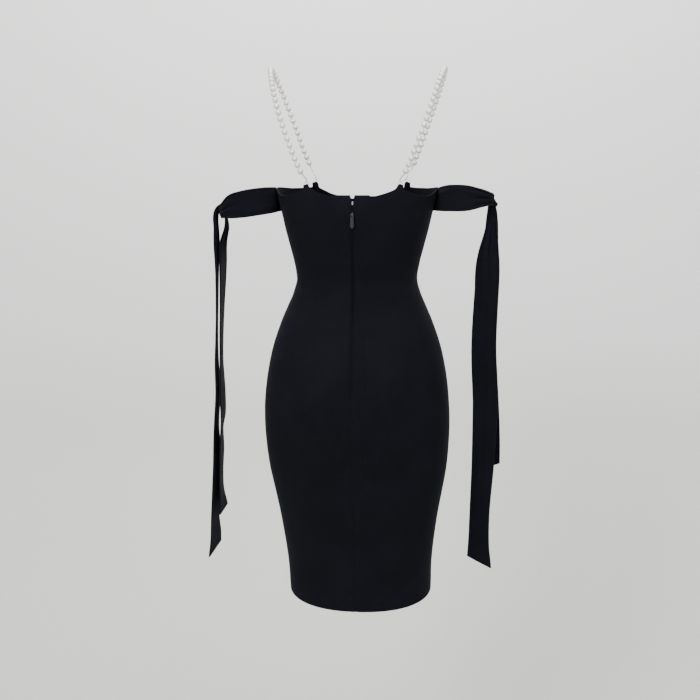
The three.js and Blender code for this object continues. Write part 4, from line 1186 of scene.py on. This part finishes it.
FINISHES = {
    "knit": knit, "zip_tape": tape_cloth, "pearl": pearl_lustre, "nickel": nickel, "zip_metal": zip_metal,
}
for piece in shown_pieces():
    if "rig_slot" in piece:
        piece.data.materials.clear()
        piece.data.materials.append(FINISHES[piece["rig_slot"]])
print("finishes", list(FINISHES))

# %% [markdown]
# The dress hangs before a plain pale wall that curves into the floor. Its paint has painted shade
# that makes it darker toward the floor. The wall can't be seen from its far side, so the front of the
# dress shows from there. A wide soft light stands high behind the camera on the left, a weaker one
# on the right, one washes the wall, and the air is bright.

# %% Room and light
FLOOR = -1.45
WALL = -0.95
ROOM_WIDE, ROOM_HIGH, ROOM_CURVE = 7, 5, 0.6
# The wall's paint at the floor and at the top. Between them it is painted shade, darker toward the floor.
WALL_PAINTED_SHADE_LOW, WALL_PAINTED_SHADE_HIGH = (0.64, 0.65, 0.61, 1), (0.83, 0.81, 0.8, 1)

deselect()
bpy.ops.mesh.primitive_plane_add(size=ROOM_WIDE, location=(0, WALL + ROOM_WIDE / 2, FLOOR))
room = bpy.context.active_object
room.name = "room"
bpy.ops.object.mode_set(mode="EDIT")
bpy.ops.mesh.select_all(action="DESELECT")
bpy.ops.object.mode_set(mode="OBJECT")
for edge in room.data.edges:
    edge.select = all(room.data.vertices[v].co.y < -3 for v in edge.vertices)
bpy.ops.object.mode_set(mode="EDIT")
bpy.ops.mesh.select_mode(type="EDGE")
bpy.ops.mesh.extrude_region_move(TRANSFORM_OT_translate={"value": (0, 0, ROOM_HIGH)})
bpy.ops.object.mode_set(mode="OBJECT")
apply_modifier(
    room, "BEVEL", width=ROOM_CURVE, segments=16, limit_method="ANGLE", angle_limit=math.radians(30)
)
deselect()
room.select_set(True)
bpy.ops.object.transform_apply(location=True)
bpy.ops.object.shade_smooth()
wall, tree, surface = material("wall", Roughness=0.95, Specular_IOR_Level=0.1)
place = add_node(tree, "ShaderNodeTexCoord").outputs["Object"]
height = add_node(tree, "ShaderNodeSeparateXYZ", {0: place}).outputs["Z"]
# Painted shade: the paint grows darker lower down, from a height of -0.6 m to -1.5 m.
share = add_node(tree, "ShaderNodeMapRange", {"Value": height, "From Min": -1.5, "From Max": -0.6})
wall_paint_with_painted_shade = add_node(
    tree, "ShaderNodeMix",
    {"Factor": share.outputs[0], 6: WALL_PAINTED_SHADE_LOW, 7: WALL_PAINTED_SHADE_HIGH}, data_type="RGBA",
)
tree.links.new(wall_paint_with_painted_shade.outputs[2], surface.inputs["Base Color"])
tree.links.new(clouded(tree, 0.9, 1.0, 1.5), surface.inputs["Roughness"])
seen_through = add_node(
    tree, "ShaderNodeMixShader",
    {
        0: add_node(tree, "ShaderNodeNewGeometry").outputs["Backfacing"],
        1: surface.outputs[0],
        2: add_node(tree, "ShaderNodeBsdfTransparent").outputs[0],
    },
)
tree.links.new(seen_through.outputs[0], tree.nodes["Material Output"].inputs["Surface"])
room.data.materials.append(wall)

LIGHTS = {
    "key": {"at": (1.6, 2.4, 1.5), "aim": -0.2, "size": 1.4, "power": 92, "colour": (1, 0.985, 0.965)},
    "fill": {"at": (-2.1, 1.9, 0.4), "aim": -0.4, "size": 1.6, "power": 34, "colour": (0.96, 0.98, 1)},
    "wall_wash": {"at": (0, 0.15, 1.6), "aim": 0.75, "size": 1.6, "power": 72, "colour": (1, 0.985, 0.98)},
}
for name, light in LIGHTS.items():
    lamp = bpy.data.lights.new(name, "AREA")
    lamp.size = light["size"]
    lamp.energy = light["power"]
    lamp.color = light["colour"]
    stand = bpy.data.objects.new(name, lamp)
    stand.location = light["at"]
    toward = Vector((0, WALL if name == "wall_wash" else 0, light["aim"]))
    stand.rotation_euler = (toward - stand.location).to_track_quat("-Z", "Y").to_euler()
    bpy.context.scene.collection.objects.link(stand)

air = bpy.data.worlds.new("air")
air.use_nodes = True
air.node_tree.nodes["Background"].inputs["Color"].default_value = (0.92, 0.95, 1, 1)
air.node_tree.nodes["Background"].inputs["Strength"].default_value = 0.7
bpy.context.scene.world = air
print("lights", list(LIGHTS))
